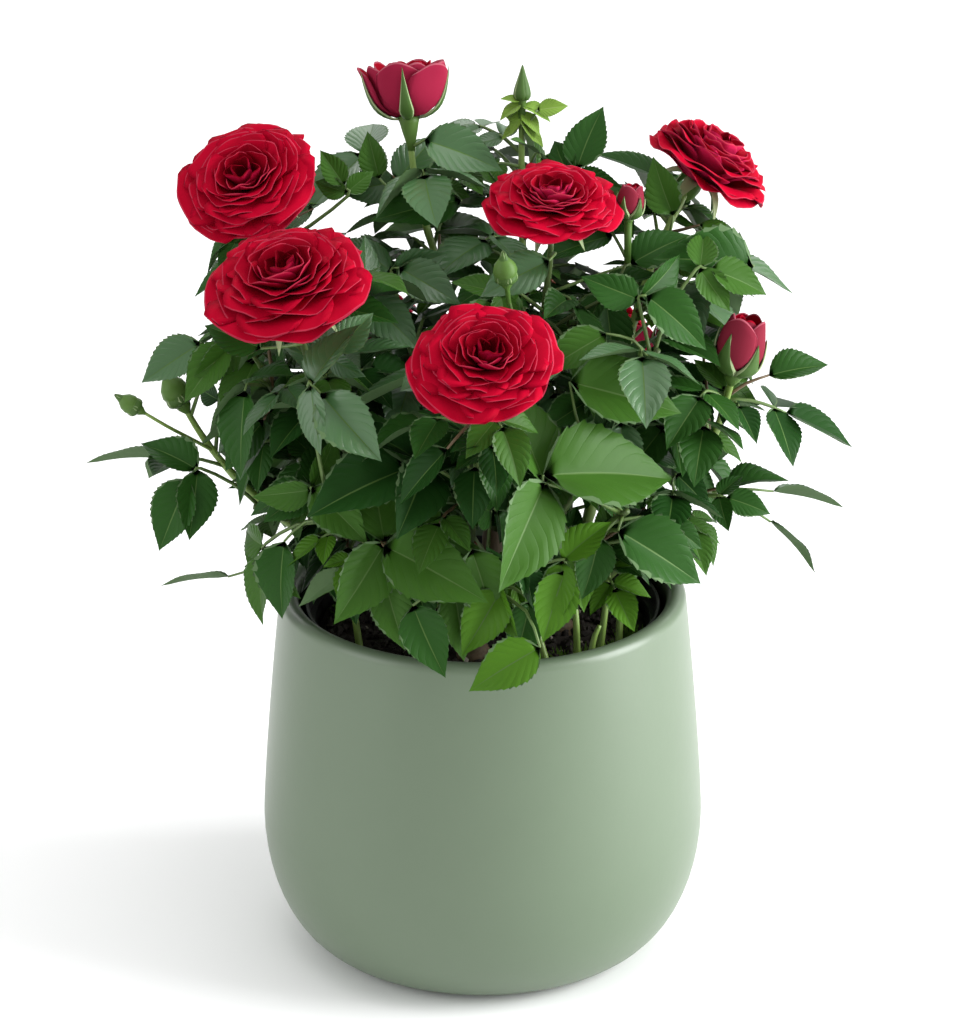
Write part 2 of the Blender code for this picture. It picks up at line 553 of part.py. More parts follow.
def grow_plant():
    """Works out every cane, twig, leaf and flower. A leaf that finds no free place is left out."""
    plant = lay_out_wood()
    space = fill_space(plant)
    rng = random.Random(AIM_SEED)
    for aim in AIMED_LEAVES:
        for attempt in range(AIM_TRIES):
            shift = Vector([rng.uniform(-1, 1) for _ in range(3)]) * (AIM_SHIFT * attempt / AIM_TRIES)
            leaf = aimed_leaf(rng, plant[aim.shoot], aim, shift)
            shape = proxy_of_leaf(leaf)
            if space.is_free(shape):
                plant[aim.shoot]["leaves"].append(leaf)
                space.add(shape)
                break
    growing = [(shoot, leaf_places(shoot, plant[shoot.name]), random.Random(shoot.seed)) for shoot in SHOOTS]
    while growing:  # one leaf for each shoot in turn, so that no mass takes another's space
        for shoot, places, rng in list(growing):
            if not places:
                growing.remove((shoot, places, rng))
                continue
            share, turn, size = places.pop(0)
            leaf = fitting_leaf(rng, plant[shoot.name]["line"], share, turn, size, LEAF_DROOP[shoot.bloom], space)
            if leaf:
                plant[shoot.name]["leaves"].append(leaf)
    return plant


def within_crown(points):
    """True if every point is nearer to the axis than the crown's reach at its height."""
    for p in points:
        height = p.z / MM
        if not CROWN[0][0] < height < CROWN[-1][0]:
            return False
        i = next(k for k in range(1, len(CROWN)) if height <= CROWN[k][0])
        (low, near), (high, far) = CROWN[i - 1], CROWN[i]
        away = math.hypot(p.x, p.y) / MM
        reach = near + (far - near) * (height - low) / (high - low)
        if away > reach + reach * CROWN_BACK * max(0, p.y / MM) / (away + 1):
            return False
    return True


def leaf_places(shoot, held):
    """Where leaves may sit along a shoot: share of the cane, turn round it, and size."""
    rng = random.Random(shoot.seed)
    line = held["line"]
    whole = sum((b - a).length for a, b in zip(line, line[1:]))
    first = whole * held["entry"] / (len(line) - 1) + 4 * MM
    last = whole - BARE_NECK[shoot.bloom]
    turn = rng.uniform(0, math.tau)
    places = []
    at = first
    while at < last:
        size = TERMINAL_LEAFLET * shoot.leaves * (1.06 - 0.18 * (at - first) / (last - first))
        places.append((at / whole, turn, size))
        turn += LEAF_TURN
        at += LEAF_SPACING * rng.uniform(0.85, 1.15)
    return places


def fitting_leaf(rng, line, share, turn, size, droop_range, space):
    """The first of several tries at a leaf that keeps clear of all else, or None."""
    root = point_on(line, share)
    way = (point_on(line, min(1, share + 0.05)) - point_on(line, share - 0.05)).normalized()
    for attempt in range(LEAF_TRIES):
        swing = turn + rng.uniform(-1, 1) * (0.3 + 0.16 * attempt)
        leaf = leaf_by_rule(rng, root, way, swing, size * 0.98**attempt, droop_range)
        shape = proxy_of_leaf(leaf)
        if within_crown(shape[0]) and space.is_free(shape):
            space.add(shape)
            return leaf
    return None


# ---- Shapes ---------------------------------------------------------------------------------------------------
def make_material(slot):
    material = bpy.data.materials.new(slot)
    material.use_nodes = True
    shader = material.node_tree.nodes["Principled BSDF"]
    shader.inputs["Base Color"].default_value = COLOURS[slot]
    shader.inputs["Roughness"].default_value = ROUGHNESS[slot]
    shader.inputs["Metallic"].default_value = 0.0
    return material


def make_object(name, bm, collection, material=None):
    """A new object that holds this bmesh, with its faces pointing out."""
    bmesh.ops.recalc_face_normals(bm, faces=bm.faces)
    mesh = bpy.data.meshes.new(name)
    bm.to_mesh(mesh)
    bm.free()
    obj = bpy.data.objects.new(name, mesh)
    collection.objects.link(obj)
    if material:
        mesh.materials.append(material)
    return obj


def turned(name, profile, segments, collection, material):
    """A solid of revolution: a profile in the XZ plane with a Screw modifier."""
    mesh = bpy.data.meshes.new(name)
    mesh.from_pydata([(r, 0, z) for r, z in profile], [(i, i + 1) for i in range(len(profile) - 1)], [])
    obj = bpy.data.objects.new(name, mesh)
    collection.objects.link(obj)
    screw = obj.modifiers.new("Turn", "SCREW")
    screw.steps = screw.render_steps = segments
    screw.use_merge_vertices = True
    screw.merge_threshold = 0.0001
    screw.use_smooth_shade = True
    mesh.materials.append(material)
    return obj


def frames_along(line, up=None):
    """A placement for each point of a line: +Z along it, and +Y as near to up as it goes, or turned as little
    as possible from one to the next."""
    ways = [(line[min(i + 1, len(line) - 1)] - line[max(i - 1, 0)]).normalized() for i in range(len(line))]
    side = across(ways[0])[0]
    placements = []
    for point, way in zip(line, ways):
        if up:
            side = up.cross(way)
        side = (side - way * side.dot(way)).normalized()
        over = way.cross(side)
        placements.append(Matrix.Translation(point) @ Matrix((side, over, way)).transposed().to_4x4())
    return placements


def tube(line, radii, sides, up=None):
    """A closed tube with flat ends: one disc, extruded from each point of the line to the next."""
    bm = bmesh.new()
    placements = frames_along(line, up)
    bmesh.ops.create_circle(bm, cap_ends=True, radius=1, segments=sides)
    bmesh.ops.transform(bm, matrix=placements[0] @ Matrix.Scale(radii[0], 4), verts=bm.verts)
    bm.faces.ensure_lookup_table()
    end = bm.faces[0]
    for i in range(1, len(line)):
        grown = bmesh.ops.extrude_face_region(bm, geom=[end])["geom"]
        if i > 1:
            bm.faces.remove(end)  # it would wall off the inside
        end = next(g for g in grown if isinstance(g, bmesh.types.BMFace))
        move = placements[i] @ Matrix.Scale(radii[i] / radii[i - 1], 4) @ placements[i - 1].inverted()
        bmesh.ops.transform(bm, matrix=move, verts=end.verts)
    return bm


def grow_blade(bm, end, order, corners, tip):
    """Extrudes a face out to a leaflet's widest ring, one corner for each of its points in order, and on to
    its tip."""
    grown = bmesh.ops.extrude_discrete_faces(bm, faces=[end])["faces"][0]
    for v, corner in zip(order(grown.verts), corners):
        v.co = corner
    pointed = bmesh.ops.extrude_discrete_faces(bm, faces=[grown])["faces"][0]
    bmesh.ops.pointmerge(bm, verts=pointed.verts, merge_co=tip)


def leaf_solid(leaf, left_out=()):
    """A compound leaf in one piece: a three-sided tube whose side and end faces are drawn out into leaflets."""
    last = leaf.leaflets[-1]
    bm = tube(leaf.spine, [leaf.radius] * len(leaf.spine), PETIOLE_SIDES, up=last.face)
    for k, joint in enumerate(leaf.joints):
        start, stop = leaf.spine[joint], leaf.spine[joint + 1]
        foot, line = (start + stop) / 2, (stop - start).normalized()
        up = (last.face - line * last.face.dot(line)).normalized()

        def near_to_far(verts):
            ordered = sorted(verts, key=lambda v: v.co.dot(line))
            return sorted(ordered[:2], key=lambda v: v.co.dot(up)) + sorted(ordered[2:], key=lambda v: v.co.dot(up))

        for hand, leaflet in zip((1, -1), leaf.leaflets[2 * k : 2 * k + 2]):
            if leaflet in left_out:
                continue
            beside = foot + up.cross(line) * (hand * leaf.radius * 0.45) + up * leaf.radius * 0.25
            end = min(bm.faces, key=lambda f: (f.calc_center_median() - beside).length)
            corners, tip = leaflet_ring(leaflet, LEAFLET_THICKNESS)
            ahead = 1 if (corners[1, 1] - corners[-1, 1]).dot(line) > 0 else -1
            ring = [corners[side, face] for side in (-ahead, ahead) for face in (-1, 1)]
            grow_blade(bm, end, near_to_far, ring, tip)
    corners, tip = leaflet_ring(last, LEAFLET_THICKNESS)
    end = min(bm.faces, key=lambda f: (f.calc_center_median() - leaf.spine[-1]).length)
    end_line = (leaf.spine[-1] - leaf.spine[-2]).normalized()
    level = last.face.cross(end_line)

    def left_rib_right(verts):
        return sorted(verts, key=lambda v: v.co.dot(level))

    edges = [(corners[side, 1] + corners[side, -1]) / 2 for side in (-1, 1)]
    rib = (corners[1, 1] + corners[-1, 1]) / 2
    grow_blade(bm, end, left_rib_right, [edges[0], rib, edges[1]], tip)
    return bm


def crosses_itself(bm):
    """True if two faces that share no corner meet."""
    whole = bm.copy()
    bmesh.ops.triangulate(whole, faces=whole.faces)
    whole.faces.ensure_lookup_table()
    corners = [{v.index for v in face.verts} for face in whole.faces]
    tree = BVHTree.FromBMesh(whole)
    whole.free()
    return any(not corners[a] & corners[b] for a, b in tree.overlap(tree))


def blade_solid(leaflet, radius):
    """A leaflet as a solid of its own, that starts a little inside its stalk."""
    corners, tip = leaflet_ring(leaflet, LEAFLET_THICKNESS)
    side = leaflet.face.cross(leaflet.way).normalized() * radius * 0.7
    root = leaflet.base - leaflet.way * radius * 0.5
    bm = bmesh.new()
    made = bmesh.ops.create_circle(bm, cap_ends=True, radius=1, segments=4)["verts"]
    order = [(1, 1), (1, -1), (-1, -1), (-1, 1)]
    for v, (s, f) in zip(made, order):
        v.co = root + side * s + leaflet.face * (f * radius * 0.35)
    bm.faces.ensure_lookup_table()
    grown = bmesh.ops.extrude_face_region(bm, geom=[bm.faces[0]])["geom"]
    end = next(g for g in grown if isinstance(g, bmesh.types.BMFace))
    for v in end.verts:
        s, f = order[min(range(4), key=lambda k: (v.co - made[k].co).length)]
        v.co = corners[s, f]
    pointed = bmesh.ops.extrude_discrete_faces(bm, faces=[end])["faces"][0]
    bmesh.ops.pointmerge(bm, verts=pointed.verts, merge_co=tip)
    bmesh.ops.recalc_face_normals(bm, faces=bm.faces)
    return bm


def leaf_solids(leaf):
    """A compound leaf in one piece. Where its blades would meet, as few side leaflets as that takes are left out,
    and if the last leaflet still meets the stalk, it is a solid of its own."""
    beside = leaf.leaflets[:-1]
    for count in range(len(beside) + 1):
        for left_out in combinations(beside, count):
            whole = leaf_solid(leaf, left_out)
            if not crosses_itself(whole):
                return [whole]
            whole.free()
    stalk = tube(leaf.spine, [leaf.radius] * len(leaf.spine), PETIOLE_SIDES, up=leaf.leaflets[-1].face)
    return [stalk, blade_solid(leaf.leaflets[-1], leaf.radius)]


def flower_solid(flower):
    """A bloom or bud: its outline spun round the axis, with each ring of petals scalloped."""
    outline = BLOOM_OUTLINES[flower.kind]
    segments = BLOOM_SEGMENTS[flower.kind]
    bm = bmesh.new()
    for ring, (away, height, scallop) in enumerate(outline):
        made = bmesh.ops.create_circle(bm, radius=1, segments=segments, matrix=Matrix.Translation((0, 0, height)))
        for k, v in enumerate(made["verts"]):
            petal = 1 + scallop * (1 if (k + ring // 2) % 2 else -1)
            v.co.x *= away * petal
            v.co.y *= away * petal
    bm.verts.ensure_lookup_table()
    rings = [bm.verts[i * segments : (i + 1) * segments] for i in range(len(outline))]
    for lower, upper in zip(rings, rings[1:]):
        for k in range(segments):
            n = (k + 1) % segments
            bm.faces.new((lower[k], lower[n], upper[n], upper[k]))
    for ring in (rings[0], rings[-1]):
        bm.faces.new(ring)
    place = Matrix.Translation(flower.base - flower.axis * BLOOM_SUNK)
    turn = UP.rotation_difference(flower.axis).to_matrix().to_4x4()
    bmesh.ops.transform(bm, matrix=place @ turn @ Matrix.Scale(flower.width, 4), verts=bm.verts)
    return bm


# ---- Planter, nursery pot, root ball ----------------------------------------------------------------------------
def planter_radius(height):
    """Outer radius of the planter: a quarter of an ellipse up to the belly, then a wall that draws in."""
    if height < PLANTER_BELLY_HEIGHT:
        t = 1 - height / PLANTER_BELLY_HEIGHT
        spread = PLANTER_BELLY_RADIUS - PLANTER_FOOT_RADIUS
        return PLANTER_FOOT_RADIUS + spread * math.sqrt(1 - t * t)
    u = (height - PLANTER_BELLY_HEIGHT) / (PLANTER_HEIGHT - PLANTER_BELLY_HEIGHT)
    return PLANTER_BELLY_RADIUS - PLANTER_SHOULDER_DROP * u**PLANTER_SHOULDER_POWER


def build_planter(collection, material):
    lip = PLANTER_WALL / 2
    lip_centre = PLANTER_HEIGHT - lip
    lip_away = planter_radius(lip_centre) - lip
    inner_floor_radius = LINER_FOOT_RADIUS + 4 * MM
    inside = [
        (planter_radius(h) - PLANTER_WALL, h)
        for h in (24 * MM, 45 * MM)
    ]
    rounded = [
        (lip_away - lip * math.cos(a), lip_centre + lip * math.sin(a))
        for a in [math.pi * k / 5 for k in range(6)]
    ]
    upper = [(planter_radius(h), h) for h in (105 * MM, 85 * MM, 65 * MM)]
    lower = []
    for k in range(5):
        h = PLANTER_BELLY_HEIGHT * (1 - math.sin(math.pi / 2 * k / 5))
        lower.append((planter_radius(h), h))
    foot = [(PLANTER_FOOT_RADIUS, 0), (0, 0)]
    profile = [(0, PLANTER_FLOOR), (inner_floor_radius, PLANTER_FLOOR)] + inside + rounded + upper + lower + foot
    turned("planter", profile, PLANTER_SEGMENTS, collection, material)


def build_liner(collection, material):
    """The thin nursery pot: a tapering tub with a deeper, wider rim."""
    bottom = PLANTER_FLOOR + CLEARANCE
    under_rim = LINER_TOP - LINER_RIM_DEPTH
    floor = bottom + LINER_WALL * 1.3
    profile = [
        (0, floor),
        (LINER_FOOT_RADIUS - LINER_WALL, floor),
        (LINER_BODY_RADIUS - LINER_WALL, under_rim + LINER_WALL),
        (LINER_RIM_RADIUS - LINER_WALL, under_rim + LINER_WALL),
        (LINER_RIM_RADIUS - LINER_WALL, LINER_TOP),
        (LINER_RIM_RADIUS, LINER_TOP),
        (LINER_RIM_RADIUS, under_rim),
        (LINER_BODY_RADIUS, under_rim),
        (LINER_FOOT_RADIUS, bottom),
        (0, bottom),
    ]
    turned("nursery_pot", profile, LINER_SEGMENTS, collection, material)


def build_root_ball(collection, material):
    """The potting mix: a cone frustum inside the nursery pot, level at the stems and hollowed between them."""
    rng = random.Random(SOIL_SEED)
    bottom = PLANTER_FLOOR + CLEARANCE * 2 + LINER_WALL * 1.3
    slope = (LINER_BODY_RADIUS - LINER_FOOT_RADIUS) / (LINER_TOP - LINER_RIM_DEPTH - PLANTER_FLOOR)
    gap = LINER_WALL + CLEARANCE * 1.5
    foot_radius = LINER_FOOT_RADIUS - gap
    top_radius = foot_radius + slope * (SOIL_TOP - bottom)
    bm = bmesh.new()
    bmesh.ops.create_cone(
        bm, cap_ends=True, cap_tris=False, segments=LINER_SEGMENTS, radius1=foot_radius, radius2=top_radius,
        depth=SOIL_TOP - bottom, matrix=Matrix.Translation((0, 0, (SOIL_TOP + bottom) / 2)),
    )
    top = max(bm.faces, key=lambda f: f.calc_center_median().z)
    for _ in range(SOIL_RINGS):
        bmesh.ops.inset_region(bm, faces=[top], thickness=top_radius / (SOIL_RINGS + 1.5))
    feet = [Vector((s.foot[0] * MM, s.foot[1] * MM)) for s in STEMS.values()]
    for v in bm.verts:
        near_stem = min((v.co.xy - foot).length for foot in feet) < SOIL_FLAT_AROUND_STEM
        if v.co.z > SOIL_TOP - 1e-6 and not near_stem:
            v.co.z -= rng.uniform(0, SOIL_DIP)
    bmesh.ops.triangulate(bm, faces=[f for f in bm.faces if f.calc_center_median().z > SOIL_TOP - SOIL_DIP])
    make_object("root_ball", bm, collection, material)


# ---- Wood and masses ----------------------------------------------------------------------------------------------
def keep_largest_shell(mesh):
    """Fills the hollows that fusing sealed and drops what hangs on by nothing: only the largest shell stays."""
    bm = bmesh.new()
    bm.from_mesh(mesh)
    unseen = set(bm.verts)
    shells = []
    while unseen:
        shell, edge_of_walk = set(), [unseen.pop()]
        while edge_of_walk:
            v = edge_of_walk.pop()
            shell.add(v)
            near = {e.other_vert(v) for e in v.link_edges} & unseen
            unseen -= near
            edge_of_walk += near
        shells.append(shell)
    shells.sort(key=len)
    dropped = [v for shell in shells[:-1] for v in shell]
    bmesh.ops.delete(bm, geom=dropped, context="VERTS")
    bm.to_mesh(mesh)
    bm.free()


def build_mass(name, held, collection, material):
    """Fuses a mass: its own stem, side twigs, petioles, leaflets and flowers, by one union on a collection."""
    entry = held["entry"]
    line, radii = held["line"][entry:], held["radii"][entry:]
    way = (line[1] - line[0]).normalized()
    line = [line[0] + way * CLEARANCE] + line[1:]
    mass = make_object("foliage_" + name, tube(line, radii, CANE_SIDES), collection, material)
    pieces = [tube(twig.points, twig.radii, PETIOLE_SIDES + 1) for twig in held["twigs"]]
    for leaf in held["leaves"]:
        pieces += leaf_solids(leaf)
    pieces += [flower_solid(flower) for flower in held["flowers"]]
    loose = bpy.data.collections.new("loose_" + name)
    bpy.context.scene.collection.children.link(loose)
    for i, bm in enumerate(pieces):
        make_object(f"{name}_{i}", bm, loose)
    union = mass.modifiers.new("Fuse", "BOOLEAN")
    union.operation = "UNION"
    union.operand_type = "COLLECTION"
    union.collection = loose
    union.solver = "MANIFOLD"
    graph = bpy.context.evaluated_depsgraph_get()
    fused = bpy.data.meshes.new_from_object(mass.evaluated_get(graph))
    mass.modifiers.remove(union)
    keep_largest_shell(fused)
    mass.data = fused
    fused.materials.clear()
    fused.materials.append(material)
    for obj in list(loose.objects):
        bpy.data.objects.remove(obj)
    bpy.data.collections.remove(loose)
    return mass


def build():
    for obj in list(bpy.data.objects):
        bpy.data.objects.remove(obj)
    collection = bpy.data.collections.new("rose_bush")
    bpy.context.scene.collection.children.link(collection)
    materials = {slot: make_material(slot) for slot in COLOURS}
    build_planter(collection, materials["planter_glaze"])
    build_liner(collection, materials["liner_plastic"])
    build_root_ball(collection, materials["soil"])
    for stem in STEMS.values():
        make_object(stem.name, tube(stem_points(stem), stem_radii(), STEM_SIDES), collection, materials["bark"])
    plant = grow_plant()
    for name, held in plant.items():
        entry = held["entry"]
        wood = tube(held["line"][: entry + 1], held["radii"][: entry + 1], CANE_SIDES)
        make_object("cane_" + name, wood, collection, materials["bark"])
        build_mass(name, held, collection, materials["foliage"])
    leaves = sum(len(held["leaves"]) for held in plant.values())
    leaflets = sum(len(leaf.leaflets) for held in plant.values() for leaf in held["leaves"])
    print(f"{len(plant)} shoots, {leaves} leaves, {leaflets} leaflets")


if __name__ == "__main__":
    build()
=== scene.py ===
# %% [markdown]
# # Dressing a potted miniature rose
#
# The solids of this plant are already built: a glazed planter, a black nursery pot, the root ball, four
# woody stems, the canes and one mass of foliage for each cane. They carry the plant's size and its
# collision. This lesson grows the looks on top of them: real petals, toothed leaflets, thorny canes,
# crumbly soil and a glaze.
#
# We load the imported solids as a fixed frame first. Everything below is in metres in that same frame, with
# +Z up and the plant's front towards -Y.

# %% Load the frame
import math
import random
from collections import namedtuple

import bmesh
import bpy
from mathutils import Matrix, Vector
from mathutils.bvhtree import BVHTree


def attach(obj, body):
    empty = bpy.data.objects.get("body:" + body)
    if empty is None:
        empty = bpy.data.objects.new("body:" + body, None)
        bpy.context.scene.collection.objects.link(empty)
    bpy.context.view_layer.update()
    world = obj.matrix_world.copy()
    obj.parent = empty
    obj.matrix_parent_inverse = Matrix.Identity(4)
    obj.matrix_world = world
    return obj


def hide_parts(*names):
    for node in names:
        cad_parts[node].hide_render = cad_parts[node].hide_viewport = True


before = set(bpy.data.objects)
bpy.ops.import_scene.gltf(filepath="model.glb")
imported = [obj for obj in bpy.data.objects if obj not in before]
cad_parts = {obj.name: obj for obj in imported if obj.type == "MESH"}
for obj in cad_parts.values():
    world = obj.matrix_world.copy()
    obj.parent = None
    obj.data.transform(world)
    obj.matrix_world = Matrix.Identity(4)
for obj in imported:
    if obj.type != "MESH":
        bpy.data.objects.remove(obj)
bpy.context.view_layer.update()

MM = 0.001
UP = Vector((0, 0, 1))
scene = bpy.context.scene

# %% [markdown]
# ## The view
#
# A camera above the plant, looking 21 degrees down, sees the front of the blooms and a little way into the
# pot. A long lens, far away, keeps the pot's sides nearly parallel, as in a product picture. The aim point
# is half-way up the plant. We place the camera on a sphere round that point, and let a quaternion turn its
# -Z axis there.

# %% Camera
VIEW_TARGET = Vector((0.6, 0, 152.5)) * MM
VIEW_DISTANCE = 1150 * MM
VIEW_HEIGHT = math.radians(21)
VIEW_LENS = 121.4  # mm, on a 36 mm sensor

camera = bpy.data.objects.new("view_camera", bpy.data.cameras.new("view_camera"))
scene.collection.objects.link(camera)
away = Vector((0, -math.cos(VIEW_HEIGHT), math.sin(VIEW_HEIGHT)))
camera.location = VIEW_TARGET + away * VIEW_DISTANCE
camera.rotation_euler = (-away).to_track_quat("-Z", "Y").to_euler()
camera.data.lens = VIEW_LENS
camera.data.clip_start = 0.01
scene.camera = camera
print("camera stands", round(camera.location.length, 2), "m from the pot")

# %% [markdown]
# ## Studio light
#
# The plant stands in a white room. A large soft window to its right gives the pot a bright right flank and
# lifts the leaves' gloss; a weaker one on the left keeps the shadows open. Area lights are the right kind
# for that: the larger they are, the softer the shade. A third hangs above as a skylight. A plain white
# world fills in from all around, and a pale floor bounces light under the pot's belly; a last lamp keeps
# the floor behind the plant white. The floor is stage, not part of the plant.

# %% Lights and floor
def soft_window(name, place, size, power, colour, aim=VIEW_TARGET):
    """An area light of this size and place in metres and power in watts, looking at the plant or at aim."""
    lamp = bpy.data.lights.new(name, "AREA")
    lamp.shape = "RECTANGLE"
    lamp.size, lamp.size_y = size
    lamp.energy = power
    lamp.color = colour
    light = bpy.data.objects.new(name, lamp)
    light.location = place
    light.rotation_euler = (Vector(aim) - Vector(place)).to_track_quat("-Z", "Y").to_euler()
    scene.collection.objects.link(light)


soft_window("window_right", (1.30, -0.20, 0.55), (0.8, 1.1), 36, (0.98, 0.99, 1.0))
soft_window("window_left", (-1.2, -0.5, 0.6), (0.8, 1.0), 5.5, (0.97, 0.985, 1.0))
soft_window("skylight", (0.1, -0.2, 1.5), (1.0, 0.8), 6, (1.0, 1.0, 1.0))
soft_window("floor_light", (0.0, 1.9, 1.3), (3.0, 1.0), 22, (1.0, 1.0, 1.0), aim=(0.0, 1.9, 0.0))

ROOM_BRIGHTNESS = 0.72
world = bpy.data.worlds.new("white_room")
world.use_nodes = True
background = world.node_tree.nodes["Background"]
background.inputs["Color"].default_value = (1.0, 1.0, 1.0, 1.0)
background.inputs["Strength"].default_value = ROOM_BRIGHTNESS
scene.world = world
scene.view_settings.view_transform = "Standard"

FLOOR_REACH = 6  # metres from the plant to the floor's edge
FLOOR_GAP = 0.2 * MM  # below the planter's foot, so that the two faces don't flicker

floor_bm = bmesh.new()
bmesh.ops.create_grid(floor_bm, x_segments=1, y_segments=1, size=FLOOR_REACH)
floor_mesh = bpy.data.meshes.new("floor")
floor_bm.to_mesh(floor_mesh)
floor_bm.free()
floor = bpy.data.objects.new("floor", floor_mesh)
floor.location.z = -FLOOR_GAP
scene.collection.objects.link(floor)
print("4 area lights, white room, pale floor")


# %% [markdown]
# ## Finishes
#
# Each finish is one material with a Principled shader. Some effects turn up in several finishes, such as
# faint cloudy mottling on glaze, plastic, soil and bark, so that effect is a shader node group, built once.
# It reads Object coordinates, because every finished piece sits at the origin and its pattern then stays
# put. The group puts out a colour between two given ones, and a height that a Bump node turns into relief.

# %% Mottling group
def make_mottling():
    """A shader node group that blends two colours in clouds, and gives the clouds' height."""
    group = bpy.data.node_groups.new("mottling", "ShaderNodeTree")
    sockets = [
        ("Scale", "NodeSocketFloat", 60.0), ("Stretch", "NodeSocketVector", (1.0, 1.0, 1.0)),
        ("Colour A", "NodeSocketColor", (0.5, 0.5, 0.5, 1.0)),
        ("Colour B", "NodeSocketColor", (0.4, 0.4, 0.4, 1.0)),
    ]
    for name, kind, value in sockets:
        group.interface.new_socket(name, in_out="INPUT", socket_type=kind).default_value = value
    group.interface.new_socket("Colour", in_out="OUTPUT", socket_type="NodeSocketColor")
    group.interface.new_socket("Height", in_out="OUTPUT", socket_type="NodeSocketFloat")
    nodes, links = group.nodes, group.links
    given = nodes.new("NodeGroupInput")
    result = nodes.new("NodeGroupOutput")
    where = nodes.new("ShaderNodeTexCoord")
    stretch = nodes.new("ShaderNodeVectorMath")
    stretch.operation = "MULTIPLY"
    clouds = nodes.new("ShaderNodeTexNoise")
    clouds.inputs["Detail"].default_value = 5.0
    clouds.inputs["Roughness"].default_value = 0.6
    blend = nodes.new("ShaderNodeMix")
    blend.data_type = "RGBA"
    links.new(where.outputs["Object"], stretch.inputs[0])
    links.new(given.outputs["Stretch"], stretch.inputs[1])
    links.new(stretch.outputs[0], clouds.inputs["Vector"])
    links.new(given.outputs["Scale"], clouds.inputs["Scale"])
    links.new(clouds.outputs["Fac"], blend.inputs["Factor"])
    links.new(given.outputs["Colour A"], blend.inputs["A"])
    links.new(given.outputs["Colour B"], blend.inputs["B"])
    links.new(blend.outputs["Result"], result.inputs["Colour"])
    links.new(clouds.outputs["Fac"], result.inputs["Height"])
    return group


mottling = make_mottling()
print("group:", mottling.name)

# %% [markdown]
# ## Two ways to make a material
#
# `plain_finish` has one base colour. Leaves and petals take it: each leaf is dealt one of several greens,
# so the crown is varied without any pattern laid over it. Gloss and velvet come from the shader's own
# sockets, coat and sheen, and fine relief from a bump. `mottled_finish` lays the cloudy group over a larger
# surface.

# %% Plain and mottled finishes
WHITE = (1.0, 1.0, 1.0)
EVENLY = (1.0, 1.0, 1.0)  # the pattern's stretch along x, y and z
COAT_ROUGHNESS = 0.22
SHEEN_ROUGHNESS = 0.35


def plain_finish(name, colour, roughness, coat=0.0, sheen=0.0, sheen_tint=WHITE, specular=0.5):
    material = bpy.data.materials.new(name)
    material.use_nodes = True
    values = {
        "Base Color": (*colour, 1.0), "Roughness": roughness, "Specular IOR Level": specular,
        "Coat Weight": coat, "Coat Roughness": COAT_ROUGHNESS,
        "Sheen Weight": sheen, "Sheen Roughness": SHEEN_ROUGHNESS, "Sheen Tint": (*sheen_tint, 1.0),
    }
    for socket, value in values.items():
        material.node_tree.nodes["Principled BSDF"].inputs[socket].default_value = value
    material.diffuse_color = (*colour, 1.0)
    return material


def add_relief(material, height, depth, strength=1.0):
    """Puts a Bump node between this height output and the material's shader. depth is in metres."""
    nodes, links = material.node_tree.nodes, material.node_tree.links
    bump = nodes.new("ShaderNodeBump")
    bump.inputs["Strength"].default_value = strength
    bump.inputs["Distance"].default_value = depth
    links.new(height, bump.inputs["Height"])
    links.new(bump.outputs["Normal"], nodes["Principled BSDF"].inputs["Normal"])


def mottled_finish(name, light, dark, scale, roughness, depth, stretch=EVENLY, coat=0.0):
    """light and dark are the two colours, scale the clouds' fineness and depth their relief in metres."""
    material = plain_finish(name, light, roughness, coat)
    nodes, links = material.node_tree.nodes, material.node_tree.links
    patches = nodes.new("ShaderNodeGroup")
    patches.node_tree = mottling
    values = {"Scale": scale, "Stretch": stretch, "Colour A": (*light, 1.0), "Colour B": (*dark, 1.0)}
    for socket, value in values.items():
        patches.inputs[socket].default_value = value
    links.new(patches.outputs["Colour"], nodes["Principled BSDF"].inputs["Base Color"])
    add_relief(material, patches.outputs["Height"], depth)
    return material


floor.data.materials.append(plain_finish("floor_white", (0.94, 0.94, 0.94), 0.9))
print("finishes ready")

# %% [markdown]
# ## From a bmesh to a piece
#
# All pieces end the same way. `finish_piece` turns a bmesh into a named object at the origin, shades it
# smooth if asked, gives it its materials, tells the frame what body it rides on and hides the solids it
# stands for.

# %% Finish a piece
def finish_piece(name, bm, materials, nodes=(), smooth=True, recalculate=True, sharpest=math.pi):
    """Makes the bmesh one named piece. Edges whose faces meet at a larger angle than sharpest stay sharp."""
    if recalculate:
        bmesh.ops.recalc_face_normals(bm, faces=bm.faces)
    for edge in bm.edges:
        edge.smooth = sharpest == math.pi or edge.calc_face_angle(0.0) < sharpest
    for face in bm.faces:
        face.smooth = smooth
    mesh = bpy.data.meshes.new(name)
    bm.to_mesh(mesh)
    bm.free()
    for material in materials:
        mesh.materials.append(material)
    piece = bpy.data.objects.new(name, mesh)
    scene.collection.objects.link(piece)
    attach(piece, "root")
    if nodes:
        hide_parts(*nodes)
    mesh.calc_loop_triangles()
    print(f"{name}: {len(mesh.loop_triangles)} triangles")


# %% [markdown]
# ## The planter
#
# The planter is slip-cast stoneware under a satin sage glaze. Its side is a quarter of an ellipse from the
# foot up to the belly, and from there it draws in a little to a thick round lip. A thing turned on a wheel
# is made the same way here: half of its outline, spun round the Z axis. The outline runs up the inside,
# over the lip and down the outside, and starts and ends on the axis, so the spun shell closes at both
# poles.

